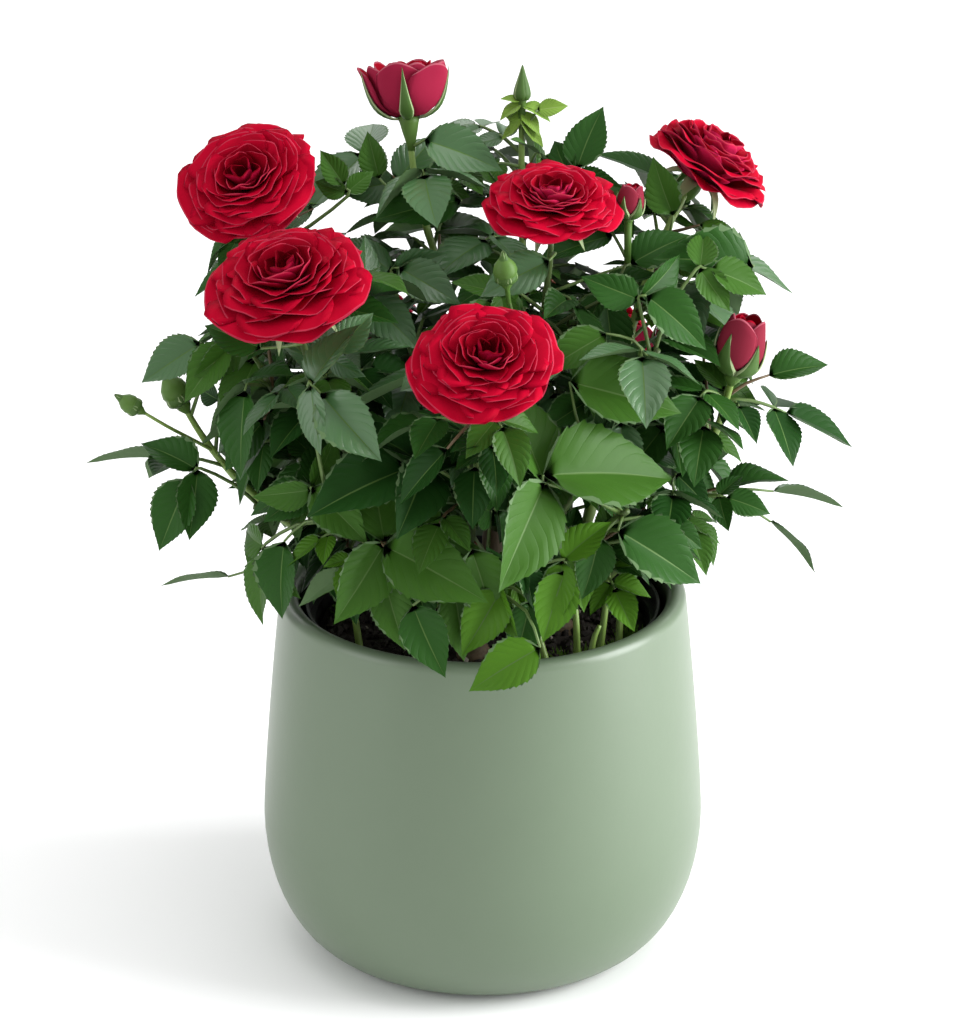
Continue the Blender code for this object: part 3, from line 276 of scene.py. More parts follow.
# %% Planter outline
PLANTER_HEIGHT = 126 * MM
PLANTER_FOOT_RADIUS = 50 * MM
PLANTER_BELLY_RADIUS = 75 * MM
PLANTER_BELLY_HEIGHT = 45 * MM
PLANTER_SHOULDER_DROP = 7 * MM  # how far the wall draws in between the belly and the lip
PLANTER_SHOULDER_POWER = 1.3
PLANTER_WALL = 6.6 * MM
PLANTER_FLOOR = 8 * MM
INNER_FLOOR_RADIUS = 44 * MM
INNER_CORNER = (51 * MM, 2.5 * MM)  # away from the axis and above the floor
LIP_STEPS = 12
BELLY_STEPS = 13
FOOT_CHAMFER = [(0.6 * MM, 0.5 * MM), (-0.8 * MM, 0)]  # past the foot's radius, and height
TURN_STEPS = 128


def planter_radius(height):
    """Outer radius of the planter: a quarter of an ellipse up to the belly, then a wall that draws in."""
    if height < PLANTER_BELLY_HEIGHT:
        t = 1 - height / PLANTER_BELLY_HEIGHT
        spread = PLANTER_BELLY_RADIUS - PLANTER_FOOT_RADIUS
        return PLANTER_FOOT_RADIUS + spread * math.sqrt(1 - t * t)
    u = (height - PLANTER_BELLY_HEIGHT) / (PLANTER_HEIGHT - PLANTER_BELLY_HEIGHT)
    return PLANTER_BELLY_RADIUS - PLANTER_SHOULDER_DROP * u**PLANTER_SHOULDER_POWER


def planter_outline():
    lip = PLANTER_WALL / 2
    lip_centre = PLANTER_HEIGHT - lip
    lip_away = planter_radius(lip_centre) - lip
    corner, up = INNER_CORNER
    inside = [(0, PLANTER_FLOOR), (INNER_FLOOR_RADIUS, PLANTER_FLOOR), (corner, PLANTER_FLOOR + up)]
    inside += [(planter_radius(h * MM) - PLANTER_WALL, h * MM) for h in range(24, 116, 10)]
    turns = [math.pi * k / LIP_STEPS for k in range(LIP_STEPS + 1)]
    rounded = [(lip_away - lip * math.cos(a), lip_centre + lip * math.sin(a)) for a in turns]
    wall = [(planter_radius(h * MM), h * MM) for h in range(118, 45, -4)]
    belly = []
    for k in range(BELLY_STEPS):
        h = PLANTER_BELLY_HEIGHT * (1 - math.sin(math.pi / 2 * k / BELLY_STEPS))
        belly.append((planter_radius(h), h))
    foot = [(PLANTER_FOOT_RADIUS + out, height) for out, height in FOOT_CHAMFER]
    return inside + rounded + wall + belly + foot + [(0, 0)]


print(len(planter_outline()), "points from the inner floor over the lip to the foot")

# %% Spin it
SAME_POINT = 0.01 * MM  # corners nearer than this are merged


def spun(outline, steps):
    """A closed shell: the outline, as (distance from the axis, height), spun once round the Z axis."""
    bm = bmesh.new()
    points = [bm.verts.new((r, 0, z)) for r, z in outline]
    edges = [bm.edges.new(pair) for pair in zip(points, points[1:])]
    bmesh.ops.spin(
        bm, geom=points + edges, cent=(0, 0, 0), axis=(0, 0, 1),
        angle=math.tau, steps=steps, use_merge=True,
    )
    bmesh.ops.remove_doubles(bm, verts=bm.verts, dist=SAME_POINT)
    return bm


SAGE, SAGE_SHADE = (0.117, 0.164, 0.101), (0.105, 0.149, 0.090)
sage_glaze = mottled_finish("sage_glaze", SAGE, SAGE_SHADE, 22.0, 0.40, 0.25 * MM, coat=0.15)
planter_bm = spun(planter_outline(), TURN_STEPS)
finish_piece("glazed_planter", planter_bm, [sage_glaze], ["planter"])

# %% [markdown]
# ## The nursery pot
#
# Inside stands the thin black pot that the rose was sold in. Only its rolled rim shows, a dark line inside
# the pale lip. The rim is a step wider than the body, and its top edge is rounded, which catches a thin
# glint.

# %% Nursery pot
CLEARANCE = 0.3 * MM  # between two solids that touch on the real plant
LINER_TOP = 121 * MM
LINER_RIM_RADIUS = 59.6 * MM
LINER_RIM_DEPTH = 7 * MM
LINER_BODY_RADIUS = 57.5 * MM  # just under the rim
LINER_FOOT_RADIUS = 45 * MM
LINER_WALL = 1.2 * MM
LINER_FLOOR = LINER_WALL * 1.3  # thickness
LINER_TURN_STEPS = 96
ROLL_STEPS = 6

liner_bottom = PLANTER_FLOOR + CLEARANCE
under_rim = LINER_TOP - LINER_RIM_DEPTH
roll = LINER_WALL / 2
liner_outline = [
    (0, liner_bottom + LINER_FLOOR),
    (LINER_FOOT_RADIUS - LINER_WALL, liner_bottom + LINER_FLOOR),
    (LINER_BODY_RADIUS - LINER_WALL, under_rim + LINER_WALL),
    (LINER_RIM_RADIUS - LINER_WALL, under_rim + LINER_WALL),
]
for k in range(ROLL_STEPS + 1):
    a = math.pi * k / ROLL_STEPS
    away = LINER_RIM_RADIUS - roll - roll * math.cos(a)
    liner_outline.append((away, LINER_TOP - roll + roll * math.sin(a)))
liner_outline += [
    (LINER_RIM_RADIUS, under_rim), (LINER_BODY_RADIUS, under_rim),
    (LINER_FOOT_RADIUS, liner_bottom), (0, liner_bottom),
]
BLACK, BLACK_WORN = (0.008, 0.008, 0.009), (0.016, 0.016, 0.017)
black_plastic = mottled_finish("black_plastic", BLACK, BLACK_WORN, 300.0, 0.38, 0.08 * MM)
liner_bm = spun(liner_outline, LINER_TURN_STEPS)
finish_piece("black_nursery_pot", liner_bm, [black_plastic], ["nursery_pot"], smooth=False)


# %% [markdown]
# ## Potting mix
#
# Seen from above between the leaves, the mix is dark, damp and crumbly, with a few tufts of moss and pale
# grains of grit. One displaced disc would look like a cushion, so the surface is made in two layers: the
# root ball itself, a tapering plug with an uneven top, and about a thousand crumbs lying on it. A crumb is
# an icosphere of twenty faces with its corners pushed about. They are all joined into one mesh, because
# nobody picks one up.

# %% Root ball
SOIL_TOP = 112 * MM
SOIL_RINGS = 26
SOIL_TURN_STEPS = 72
GRAIN = 0.25  # mm, up or down, of each corner of the surface

soil_rng = random.Random(11)
soil_bottom = PLANTER_FLOOR + CLEARANCE * 2 + LINER_FLOOR
soil_slope = (LINER_BODY_RADIUS - LINER_FOOT_RADIUS) / (LINER_TOP - LINER_RIM_DEPTH - PLANTER_FLOOR)
soil_foot = LINER_FOOT_RADIUS - LINER_WALL - CLEARANCE * 1.5
soil_reach = soil_foot + soil_slope * (SOIL_TOP - soil_bottom)


def soil_height(x, y):
    """Height of the soil's surface here: slow swells and small lumps, a millimetre below the stems' feet."""
    swell = math.sin(x * 150 + 1.3) * math.sin(y * 170 + 0.4) + 0.5 * math.sin(x * 420 + y * 260)
    lumps = math.sin(x * 1310 + 2) * math.sin(y * 1170 + 1) + math.sin(x * 870 - y * 990)
    return SOIL_TOP - 1.1 * MM + 0.7 * MM * swell + 0.25 * MM * lumps


soil_outline = [(0, soil_bottom), (soil_foot, soil_bottom), (soil_reach, SOIL_TOP - 0.6 * MM)]
soil_outline += [(soil_reach * (1 - k / SOIL_RINGS), SOIL_TOP) for k in range(1, SOIL_RINGS)]
soil_bm = spun(soil_outline + [(0, SOIL_TOP)], SOIL_TURN_STEPS)
for v in soil_bm.verts:
    if v.co.z > SOIL_TOP - 1 * MM:
        v.co.z = soil_height(v.co.x, v.co.y) + soil_rng.uniform(-GRAIN, GRAIN) * MM
PEAT, DAMP_PEAT = (0.036, 0.025, 0.017), (0.010, 0.007, 0.005)
soil_finish = mottled_finish("potting_mix", PEAT, DAMP_PEAT, 420.0, 0.9, 0.6 * MM)
finish_piece("root_ball_surface", soil_bm, [soil_finish], ["root_ball"])

# %% Lumps and tufts
LUMP_ROUGHNESS = 0.28  # how far a lump's corners are pushed, of its radius
TUFT_LEAN = 0.9  # radians, at most
TUFT_LENGTHS = (1.8, 4.2)  # mm
TUFT_RADIUS, TUFT_TIP = 0.45 * MM, 0.05 * MM


def strewn(count, size_range, rng, lift):
    """Small lumps lying on the soil, in one bmesh: each an icosphere with its corners pushed about."""
    bm = bmesh.new()
    for _ in range(count):
        away, turn = (soil_reach - 2.5 * MM) * math.sqrt(rng.random()), rng.uniform(0, math.tau)
        size = rng.uniform(*size_range) * MM
        x, y = away * math.cos(turn), away * math.sin(turn)
        place = Matrix.Translation((x, y, soil_height(x, y) + size * lift))
        made = bmesh.ops.create_icosphere(bm, subdivisions=1, radius=size, matrix=place)
        for v in made["verts"]:
            v.co += Vector([rng.uniform(-LUMP_ROUGHNESS, LUMP_ROUGHNESS) * size for _ in range(3)])
    return bm


def tufts(rng, patches):
    """Cushions of moss: short tapering three-sided blades that stand out from a few spots on the soil."""
    bm = bmesh.new()
    for x, y, spread, blades in patches:
        for _ in range(blades):
            turn, away = rng.uniform(0, math.tau), spread * math.sqrt(rng.random())
            px, py = (x + away * math.cos(turn)) * MM, (y + away * math.sin(turn)) * MM
            if math.hypot(px, py) > soil_reach - 1.5 * MM:
                continue
            hinge = Vector((-math.sin(turn), math.cos(turn), 0))
            lean = Matrix.Rotation(rng.uniform(0, TUFT_LEAN), 4, hinge)
            length = rng.uniform(*TUFT_LENGTHS) * MM
            foot = Matrix.Translation((px, py, soil_height(px, py)))
            place = foot @ lean @ Matrix.Translation((0, 0, length / 2))
            bmesh.ops.create_cone(
                bm, cap_ends=True, segments=3, radius1=TUFT_RADIUS, radius2=TUFT_TIP,
                depth=length, matrix=place,
            )
    return bm


# %% Crumbs, grit and moss
crumb_finish = plain_finish("soil_crumbs", (0.017, 0.012, 0.008), 0.85)
grit_finish = plain_finish("pale_grit", (0.36, 0.33, 0.27), 0.8)
moss_finish = plain_finish("moss", (0.095, 0.18, 0.025), 0.7, specular=0.2)
CRUMBS, CRUMB_SIZES = 1100, (0.5, 1.9)  # radii in mm
GRAINS, GRAIN_SIZES = 46, (0.5, 1.0)
crumbs_bm = strewn(CRUMBS, CRUMB_SIZES, soil_rng, 0.45)
finish_piece("soil_crumbs", crumbs_bm, [crumb_finish], smooth=False)
grit_bm = strewn(GRAINS, GRAIN_SIZES, soil_rng, 0.5)
finish_piece("soil_grit", grit_bm, [grit_finish], smooth=False)
MOSS_PATCHES = [  # x, y and spread in mm, blades
    (24, -45, 9, 190), (36, -36, 9, 190), (45, -24, 8, 170), (50, -8, 6, 90), (30, -28, 7, 110),
    (6, -52, 5, 50), (-30, -38, 5, 60), (-46, 14, 6, 60), (10, 50, 7, 60), (-8, -2, 6, 50),
]
finish_piece("moss", tufts(soil_rng, MOSS_PATCHES), [moss_finish], smooth=False)


# %% [markdown]
# ## How a rose bush is built
#
# The solids were laid out by a growth rule, and the real leaves must sit exactly where those masses are, so
# the same rule runs again here. It works like the plant. Four woody stems rise from the crown of the roots,
# each a little apart. From each stem leave canes, which arch outwards and end in a bloom, a bud or a leafy
# tip. Along a cane a leaf sits every few millimetres, each turned 137.5 degrees on from the last, the angle
# by which most plants keep their leaves out of each other's shade. A rose leaf is compound: one leaflet at
# the end of the stalk and one or two pairs behind it.

# %% Sizes of wood and leaves
STEM_FOOT_FLARE = 6.0 * MM
STEM_RADIUS = 4.2 * MM
STEM_TOP_RADIUS = 3.0 * MM
CANE_RADIUS = 1.9 * MM
CANE_TIP_RADIUS = 1.0 * MM
CANE_STEP = 12 * MM  # length of one straight piece of a cane
CANE_LEAVES_STEM_AT = math.radians(52)  # from the stem's own line
CANE_REACH = 0.36  # length of a cane's curve handles, as a share of its span
MASS_STARTS = 0.26  # share of a cane's length that is bare wood
SIDE_TWIG_RADIUS = 0.9 * MM
LEAF_SPACING = 8 * MM
LEAF_TURN = math.radians(137.5)
LEAF_TRIES = 24
LEAF_DROOP = {  # degrees, by what ends the shoot
    "open": (0, 45), "cup": (0, 45), "red_bud": (5, 55), "green_bud": (5, 55), None: (25, 70),
}
PETIOLE_RADIUS = 0.7 * MM
TERMINAL_LEAFLET = 36 * MM
PAIRS_AT = (0.17, 0.66)  # how far behind the last leaflet each pair sits, in lengths of that leaflet
PAIR_SIZES = (0.84, 0.68)
PAIR_SPREAD = (58, 74)  # degrees between a side leaflet and the leaf's line
JOINT_LENGTH = 2.4 * MM  # how much of the leaf's line a side leaflet is joined along
LEAFLET_WIDTH = 0.60  # of its length
LEAFLET_WIDEST = 0.44  # of its length, from the base
LEAFLET_BEND = 0.12  # how far the tip bends down, of the length
PROXY_THICKNESS = 0.055  # the same for the shape that keeps leaves clear of each other
ROOT_IN_STEM = 5 * MM  # how much of a petiole counts as in or at its own stem
CROWN = [  # height, and how far out the crown reaches there, in mm
    (112, 50), (122, 62), (136, 80), (165, 86), (180, 96), (215, 94), (240, 84), (262, 66), (284, 40),
]
CROWN_BACK = 0.36  # how much less far it reaches straight back, as a share
AIM_SEED = 99
AIM_TRIES = 30
AIM_SHIFT = 7 * MM  # furthest that an aimed leaf gives way along each axis

Stem = namedtuple("Stem", "name foot top")  # foot on the soil as (x, y) and top, in mm
STEMS = {
    "west": Stem("stem_west", (-24, 2), (-33, 3, 148)),
    "south": Stem("stem_south", (-3, -25), (-4, -34, 148)),
    "east": Stem("stem_east", (25, -3), (34, -4, 148)),
    "north": Stem("stem_north", (3, 25), (4, 33, 150)),
}
print(len(STEMS), "stems; a common last leaflet is", round(TERMINAL_LEAFLET / MM), "mm long")

# %% [markdown]
# ## The plant's shoots
#
# One line per shoot: which stem it leaves, how far up, where its tip is and how it points, what it carries
# and how large its leaves are. Buds on side twigs and the leaves that make the crown's outline have their
# own lists.

# %% Shoots
Shoot = namedtuple("Shoot", "name stem fork tip axis bloom width leaves seed")
SHOOTS = [  # fork: share of the way up its stem; tip and width in mm; leaves: size beside the common leaf
    Shoot("back_skirt", "north", 0.40, (2, 64, 158), (0.05, 0.97, 0.20), None, 0, 1.0, 120),
    Shoot("back_left_skirt", "west", 0.24, (-54, 40, 162), (-0.80, 0.50, 0.30), None, 0, 1.0, 49),
    Shoot("back_right_skirt", "east", 0.34, (56, 38, 158), (0.80, 0.50, 0.30), None, 0, 1.0, 31),
    Shoot("left_bloom", "south", 0.86, (-59, -44, 237), (-0.15, -0.38, 0.91), "open", 56, 1.0, 75),
    Shoot("middle_bloom", "south", 1.00, (1, -72, 222), (-0.03, -0.56, 0.83), "open", 50, 1.0, 32),
    Shoot("front_skirt", "south", 0.42, (2, -60, 150), (0.10, -0.97, -0.20), None, 0, 0.95, 22),
    Shoot("front_left", "south", 0.62, (-50, -52, 172), (-0.50, -0.70, 0.50), None, 0, 1.0, 46),
    Shoot("upper_left_bloom", "west", 0.88, (-74, 8, 260), (-0.22, -0.50, 0.84), "open", 49, 1.0, 60),
    Shoot("left_buds", "west", 0.66, (-99, 6, 188), (-0.45, 0.10, 0.88), "green_bud", 11, 0.9, 7),
    Shoot("left_skirt", "west", 0.40, (-76, -4, 156), (-0.95, -0.15, 0.05), None, 0, 1.0, 81),
    Shoot("right_bud", "east", 0.80, (81, -14, 205), (0.18, -0.05, 0.98), "red_bud", 17, 0.95, 72),
    Shoot("right_skirt", "east", 0.52, (76, 0, 160), (0.95, -0.05, 0.20), None, 0, 0.9, 74),
    Shoot("front_right", "east", 0.40, (46, -50, 172), (0.45, -0.75, 0.48), None, 0, 1.05, 91),
    Shoot("upper_right_bloom", "east", 1.00, (69, 28, 258), (0.52, 0.28, 0.80), "open", 47, 1.0, 29),
    Shoot("top_middle_bloom", "north", 0.78, (22, -8, 249), (0.05, -0.32, 0.94), "open", 52, 1.0, 37),
    Shoot("top_cup", "north", 1.00, (-24, 31, 276), (-0.03, 0.30, 0.95), "cup", 30, 1.0, 59),
    Shoot("top_bud", "north", 0.90, (13, 42, 277), (0.02, 0.05, 1.00), "green_bud", 6.5, 0.9, 77),
    Shoot("back_left_bloom", "north", 0.24, (-42, 74, 186), (-0.35, 0.70, 0.62), "open", 46, 1.0, 28),
    Shoot("back_right_bloom", "east", 0.24, (40, 76, 182), (0.30, 0.72, 0.62), "open", 48, 1.0, 21),
    Shoot("left_middle", "west", 0.54, (-70, -20, 206), (-0.50, -0.35, 0.80), None, 0, 0.95, 10),
    Shoot("right_middle", "south", 0.74, (56, -26, 218), (0.35, -0.30, 0.88), None, 0, 0.95, 33),
    Shoot("centre_left", "north", 0.54, (-26, -8, 222), (-0.25, -0.30, 0.92), None, 0, 0.95, 16),
    Shoot("centre_right", "east", 0.90, (30, 18, 222), (0.10, 0.10, 0.98), None, 0, 0.95, 155),
]

# %% Side buds
SideBud = namedtuple("SideBud", "shoot along tip axis bloom width")
SIDE_BUDS = [  # along: share of the way up its cane; tip and width in mm
    SideBud("top_middle_bloom", 0.70, (47, 0, 240), (0.10, 0.05, 0.98), "red_bud", 9.5),
    SideBud("top_middle_bloom", 0.74, (8, -36, 239), (-0.10, -0.25, 0.96), "green_bud", 9),
    SideBud("left_buds", 0.80, (-112, -10, 192), (-0.80, -0.10, 0.58), "green_bud", 7.5),
    SideBud("back_right_bloom", 0.76, (62, 56, 190), (0.30, 0.35, 0.88), "red_bud", 10),
]

# %% Leaves of the outline and the front
Aimed = namedtuple("Aimed", "shoot base tip face pairs")
AIMED_LEAVES = [  # base and tip of the last leaflet in mm, where its upper face looks, pairs behind it
    Aimed("left_buds", (-106, 0, 172), (-131, 0, 174), (0.04, 0.36, 0.93), 1),
    Aimed("left_buds", (-94, 0, 215), (-114, -4, 203), (-0.3, -0.8, 0.5), 0),
    Aimed("left_skirt", (-96, -18, 171), (-107, -22, 147), (-0.35, -0.85, 0.35), 1),
    Aimed("left_skirt", (-86, 8, 126), (-109, 8, 127), (0.04, 0.36, 0.93), 0),
    Aimed("left_skirt", (-83, -10, 178), (-85, -12, 152), (-0.9, -0.4, 0.1), 0),
    Aimed("front_left", (-72, -30, 148), (-75, -32, 124), (-0.8, -0.55, 0.1), 1),
    Aimed("front_left", (-63, -38, 157), (-67, -42, 131), (-0.5, -0.85, 0.1), 0),
    Aimed("front_left", (-50, -66, 217), (-32, -76, 198), (-0.2, -0.8, 0.55), 1),
    Aimed("front_left", (-67, -52, 214), (-87, -50, 204), (-0.2, -0.75, 0.6), 1),
    Aimed("left_bloom", (-46, -52, 226), (-34, -46, 237), (0.2, -0.8, 0.5), 1),
    Aimed("left_bloom", (-69, -52, 227), (-87, -46, 234), (-0.2, -0.7, 0.65), 0),
    Aimed("upper_left_bloom", (-45, 14, 261), (-53, 18, 272), (0, -0.85, 0.5), 1),
    Aimed("upper_left_bloom", (-71, 0, 249), (-88, -4, 251), (0, -0.7, 0.7), 0),
    Aimed("top_cup", (-34, 26, 260), (-38, 30, 275), (-0.2, -0.9, 0.3), 0),
    Aimed("top_cup", (-19, 26, 273), (7, 20, 267), (-0.1, -0.75, 0.65), 0),
    Aimed("top_bud", (31, 30, 262), (38, 40, 282), (-0.3, -0.85, 0.3), 1),
    Aimed("top_bud", (13, 42, 275), (5, 40, 279), (-0.2, -0.8, 0.5), 0),
    Aimed("top_bud", (14, 42, 276), (24, 40, 278), (0.2, -0.8, 0.5), 0),
    Aimed("upper_right_bloom", (62, 10, 252), (54, 14, 270), (-0.3, -0.85, 0.3), 0),
    Aimed("upper_right_bloom", (71, 16, 247), (85, 14, 244), (0.1, -0.4, 0.9), 0),
    Aimed("upper_right_bloom", (78, 12, 238), (104, 12, 228), (0.2, -0.05, 0.98), 1),
    Aimed("upper_right_bloom", (82, 2, 233), (51, -8, 242), (0, -0.7, 0.7), 0),
    Aimed("top_middle_bloom", (45, 0, 236), (64, 6, 246), (-0.1, -0.8, 0.55), 0),
    Aimed("right_bud", (93, -10, 204), (113, -6, 208), (0.1, -0.5, 0.86), 0),
    Aimed("right_bud", (99, -10, 191), (123, -6, 178), (0.25, -0.15, 0.95), 1),
    Aimed("right_skirt", (82, -5, 164), (103, 0, 167), (-0.1, -0.2, 0.97), 0),
    Aimed("right_skirt", (97, 5, 158), (121, 8, 155), (0.1, 0.36, 0.93), 0),
    Aimed("right_skirt", (80, -14, 163), (95, -16, 159), (0.2, -0.8, 0.5), 1),
    Aimed("right_skirt", (96, 0, 149), (114, 0, 134), (0.65, 0.27, 0.7), 0),
    Aimed("front_right", (60, -36, 162), (72, -36, 154), (0.2, -0.85, 0.4), 0),
    Aimed("front_right", (43, -54, 167), (72, -52, 148), (0.1, -0.75, 0.65), 1),
    Aimed("front_right", (19, -66, 190), (63, -44, 186), (0.1, -0.7, 0.7), 1),
    Aimed("front_right", (29, -48, 214), (66, -42, 203), (0.1, -0.7, 0.7), 0),
    Aimed("front_skirt", (-31, -60, 164), (1, -76, 154), (-0.2, -0.8, 0.55), 1),
    Aimed("front_skirt", (18, -78, 137), (-5, -84, 126), (-0.1, -0.8, 0.6), 0),
    Aimed("front_skirt", (-22, -68, 147), (-13, -80, 127), (-0.1, -0.9, 0.4), 0),
    Aimed("front_skirt", (26, -66, 158), (18, -74, 137), (0.1, -0.95, 0.3), 1),
    Aimed("middle_bloom", (6, -72, 208), (13, -86, 195), (0.3, -0.75, 0.6), 1),
    Aimed("middle_bloom", (-11, -72, 201), (-27, -74, 184), (-0.6, -0.5, 0.6), 0),
    Aimed("front_skirt", (-1, -60, 159), (8, -66, 134), (0.1, -0.9, 0.4), 0),
    Aimed("front_skirt", (5, -62, 165), (-6, -70, 146), (-0.3, -0.85, 0.4), 0),
    Aimed("front_right", (37, -54, 165), (33, -60, 145), (0.2, -0.9, 0.3), 0),
    Aimed("front_left", (-12, -66, 189), (-26, -70, 168), (-0.3, -0.8, 0.5), 0),
    Aimed("front_left", (-52, -54, 180), (-34, -62, 165), (-0.1, -0.85, 0.5), 1),
    Aimed("top_cup", (-7, 14, 256), (-36, 6, 254), (0.05, -0.6, 0.8), 0),
    Aimed("centre_left", (-27, -8, 242), (-7, -16, 233), (0, -0.8, 0.6), 1),
    Aimed("centre_left", (-36, -14, 231), (-18, -24, 219), (0, -0.8, 0.6), 1),
    Aimed("top_middle_bloom", (21, -24, 247), (-1, -30, 238), (-0.1, -0.75, 0.65), 0),
    Aimed("centre_right", (40, -2, 228), (42, -10, 206), (0.2, -0.9, 0.4), 1),
    Aimed("right_middle", (52, -26, 236), (73, -30, 221), (0.1, -0.75, 0.65), 1),
    Aimed("right_middle", (44, -30, 230), (24, -38, 221), (-0.1, -0.75, 0.65), 0),
    Aimed("left_middle", (-81, -24, 219), (-97, -28, 202), (-0.3, -0.75, 0.6), 1),
    Aimed("left_middle", (-70, -34, 197), (-83, -38, 181), (-0.3, -0.8, 0.5), 1),
    Aimed("right_skirt", (67, -10, 170), (79, -14, 160), (0.2, -0.85, 0.45), 0),
    Aimed("right_middle", (68, -18, 236), (88, -16, 229), (0.2, -0.7, 0.7), 1),
    Aimed("upper_left_bloom", (-61, 16, 250), (-79, 12, 247), (0, -0.7, 0.7), 0),
    Aimed("left_middle", (-80, -28, 229), (-92, -26, 235), (-0.3, -0.7, 0.6), 0),
]
print(len(AIMED_LEAVES), "leaves placed by name")

# %% Outlines of blooms and buds
BARE_NECK = {"open": 17 * MM, "cup": 20 * MM, "red_bud": 9 * MM, "green_bud": 12 * MM, None: 2 * MM}
BLOOM_OUTLINES = {  # (away from the axis, height, depth of the scallops), all as shares of the bloom's width
    "open": [
        (0.045, 0.00, 0), (0.085, 0.06, 0), (0.300, 0.15, 0.03), (0.490, 0.25, 0.05), (0.430, 0.31, 0.04),
        (0.370, 0.29, -0.05), (0.300, 0.40, 0.05), (0.190, 0.36, -0.06), (0.100, 0.42, 0),
    ],
    "cup": [
        (0.060, 0.00, 0), (0.110, 0.12, 0), (0.330, 0.30, 0.03), (0.430, 0.55, 0.04), (0.500, 0.86, 0.06),
        (0.400, 0.82, -0.05), (0.300, 0.90, 0.06), (0.160, 0.76, 0),
    ],
    "red_bud": [
        (0.100, 0.00, 0), (0.230, 0.16, 0), (0.470, 0.52, 0), (0.490, 0.90, 0.03), (0.380, 1.28, 0.08),
        (0.180, 1.24, 0),
    ],
    "green_bud": [
        (0.120, 0.00, 0), (0.300, 0.22, 0), (0.500, 0.70, 0), (0.440, 1.10, 0), (0.160, 1.55, 0),
        (0.060, 1.95, 0),
    ],
}
BLOOM_SEGMENTS = {"open": 12, "cup": 10, "red_bud": 8, "green_bud": 6}
BLOOM_SUNK = 3 * MM  # how far the twig's end reaches into a bloom

# %% What a plant is made of
Leaflet = namedtuple("Leaflet", "base way face length")
Leaf = namedtuple("Leaf", "spine radius leaflets")
Twig = namedtuple("Twig", "points radii")
Flower = namedtuple("Flower", "base axis kind width")
print(len(SHOOTS), "shoots,", sum(1 for s in SHOOTS if s.bloom), "of them in flower or bud")

# %% [markdown]
# ## Lines for stems and canes
#
# Every stem and cane is one smooth line with a radius that tapers along it. A cane leaves its stem at a
# fixed angle, like a real fork, and a cubic curve takes it to its tip. `walk` cuts the curve into even
# steps.

# %% Lines
def in_mm(values):
    """A point given in millimetres, in metres."""
    return Vector(values) * MM


def curve_point(ends, t):
    """A point on the cubic curve with these four control points."""
    a, b, c, d = ends
    s = 1 - t
    return a * s**3 + b * (3 * s * s * t) + c * (3 * s * t * t) + d * t**3


def walk(ends, step):
    """Evenly spaced points along that curve, about one step apart."""
    fine = [curve_point(ends, i / 60) for i in range(61)]
    lengths = [0.0]
    for a, b in zip(fine, fine[1:]):
        lengths.append(lengths[-1] + (b - a).length)
    count = max(3, round(lengths[-1] / step))
    points = []
    i = 0
    for k in range(count + 1):
        target = lengths[-1] * k / count
        while i < 59 and lengths[i + 1] < target:
            i += 1
        share = (target - lengths[i]) / (lengths[i + 1] - lengths[i])
        points.append(fine[i].lerp(fine[i + 1], share))
    return points


def taper(start, end, count):
    """As many radii, evenly spaced from start to end."""
    return [start + (end - start) * i / (count - 1) for i in range(count)]


def stem_points(stem):
    """The stem's centreline, from its flat foot on the soil to its top."""
    foot = Vector((stem.foot[0] * MM, stem.foot[1] * MM, SOIL_TOP + CLEARANCE))
    top = in_mm(stem.top)
    ends = (foot, foot + UP * (top.z - foot.z) * 0.4, foot.lerp(top, 0.6), top)
    return [curve_point(ends, t) for t in (0, 0.1, 0.3, 0.6, 1)]


def stem_radii():
    return [STEM_FOOT_FLARE] + taper(STEM_RADIUS, STEM_TOP_RADIUS, 4)


def point_on(points, share):
    """The point at this share of the way along a line of evenly spaced points."""
    at = share * (len(points) - 1)
    i = min(int(at), len(points) - 2)
    return points[i].lerp(points[i + 1], at - i)


def cane_points(shoot):
    """The whole centreline of a shoot, from its stem to its tip."""
    line = stem_points(STEMS[shoot.stem])
    tip, axis = in_mm(shoot.tip), Vector(shoot.axis).normalized()
    along = (line[-1] - line[0]).normalized()
    if shoot.fork >= 1:
        start = line[-1] + along * CLEARANCE
        way = along
    else:
        foot = point_on(line, shoot.fork)
        outward = tip - foot
        outward = (outward - along * outward.dot(along)).normalized()
        bend = CANE_LEAVES_STEM_AT
        way = outward * math.sin(bend) + along * math.cos(bend)
        stem_radius = point_on([Vector((r, 0, 0)) for r in stem_radii()], shoot.fork).x
        widest = stem_radius + CLEARANCE + CANE_RADIUS * math.cos(bend)
        start = foot + outward * widest
    handle = (tip - start).length * CANE_REACH
    return walk((start, start + way * handle, tip - axis * handle, tip), CANE_STEP)


def across(way):
    """Two unit vectors at right angles to way and to each other, the first one level."""
    side = way.cross(UP)
    if side.length < 1e-4:
        side = Vector((1, 0, 0))
    side.normalize()
    return side, side.cross(way).normalized()


def along_curve(ends, lengths):
    """Points on the curve at the lengths from its start that the function works out from its whole length."""
    fine = [curve_point(ends, i / 40) for i in range(41)]
    sums = [0.0]
    for a, b in zip(fine, fine[1:]):
        sums.append(sums[-1] + (b - a).length)
    points = []
    for length in lengths(sums[-1]):
        i = max(0, min(39, next((k for k, total in enumerate(sums) if total > length), 40) - 1))
        points.append(fine[i].lerp(fine[i + 1], (length - sums[i]) / (sums[i + 1] - sums[i])))
    return points


print("a cane of", len(cane_points(SHOOTS[0])) - 1, "straight pieces:", SHOOTS[0].name)

# %% [markdown]
# ## Compound leaves
#
# A leaf is first only a few numbers: the line of its stalk, and for each leaflet a base, a way, the
# direction its upper face looks and a length. Leaves that sit by the rule lean outwards and droop; each is
# tried in several turns until one keeps clear of everything placed before it.

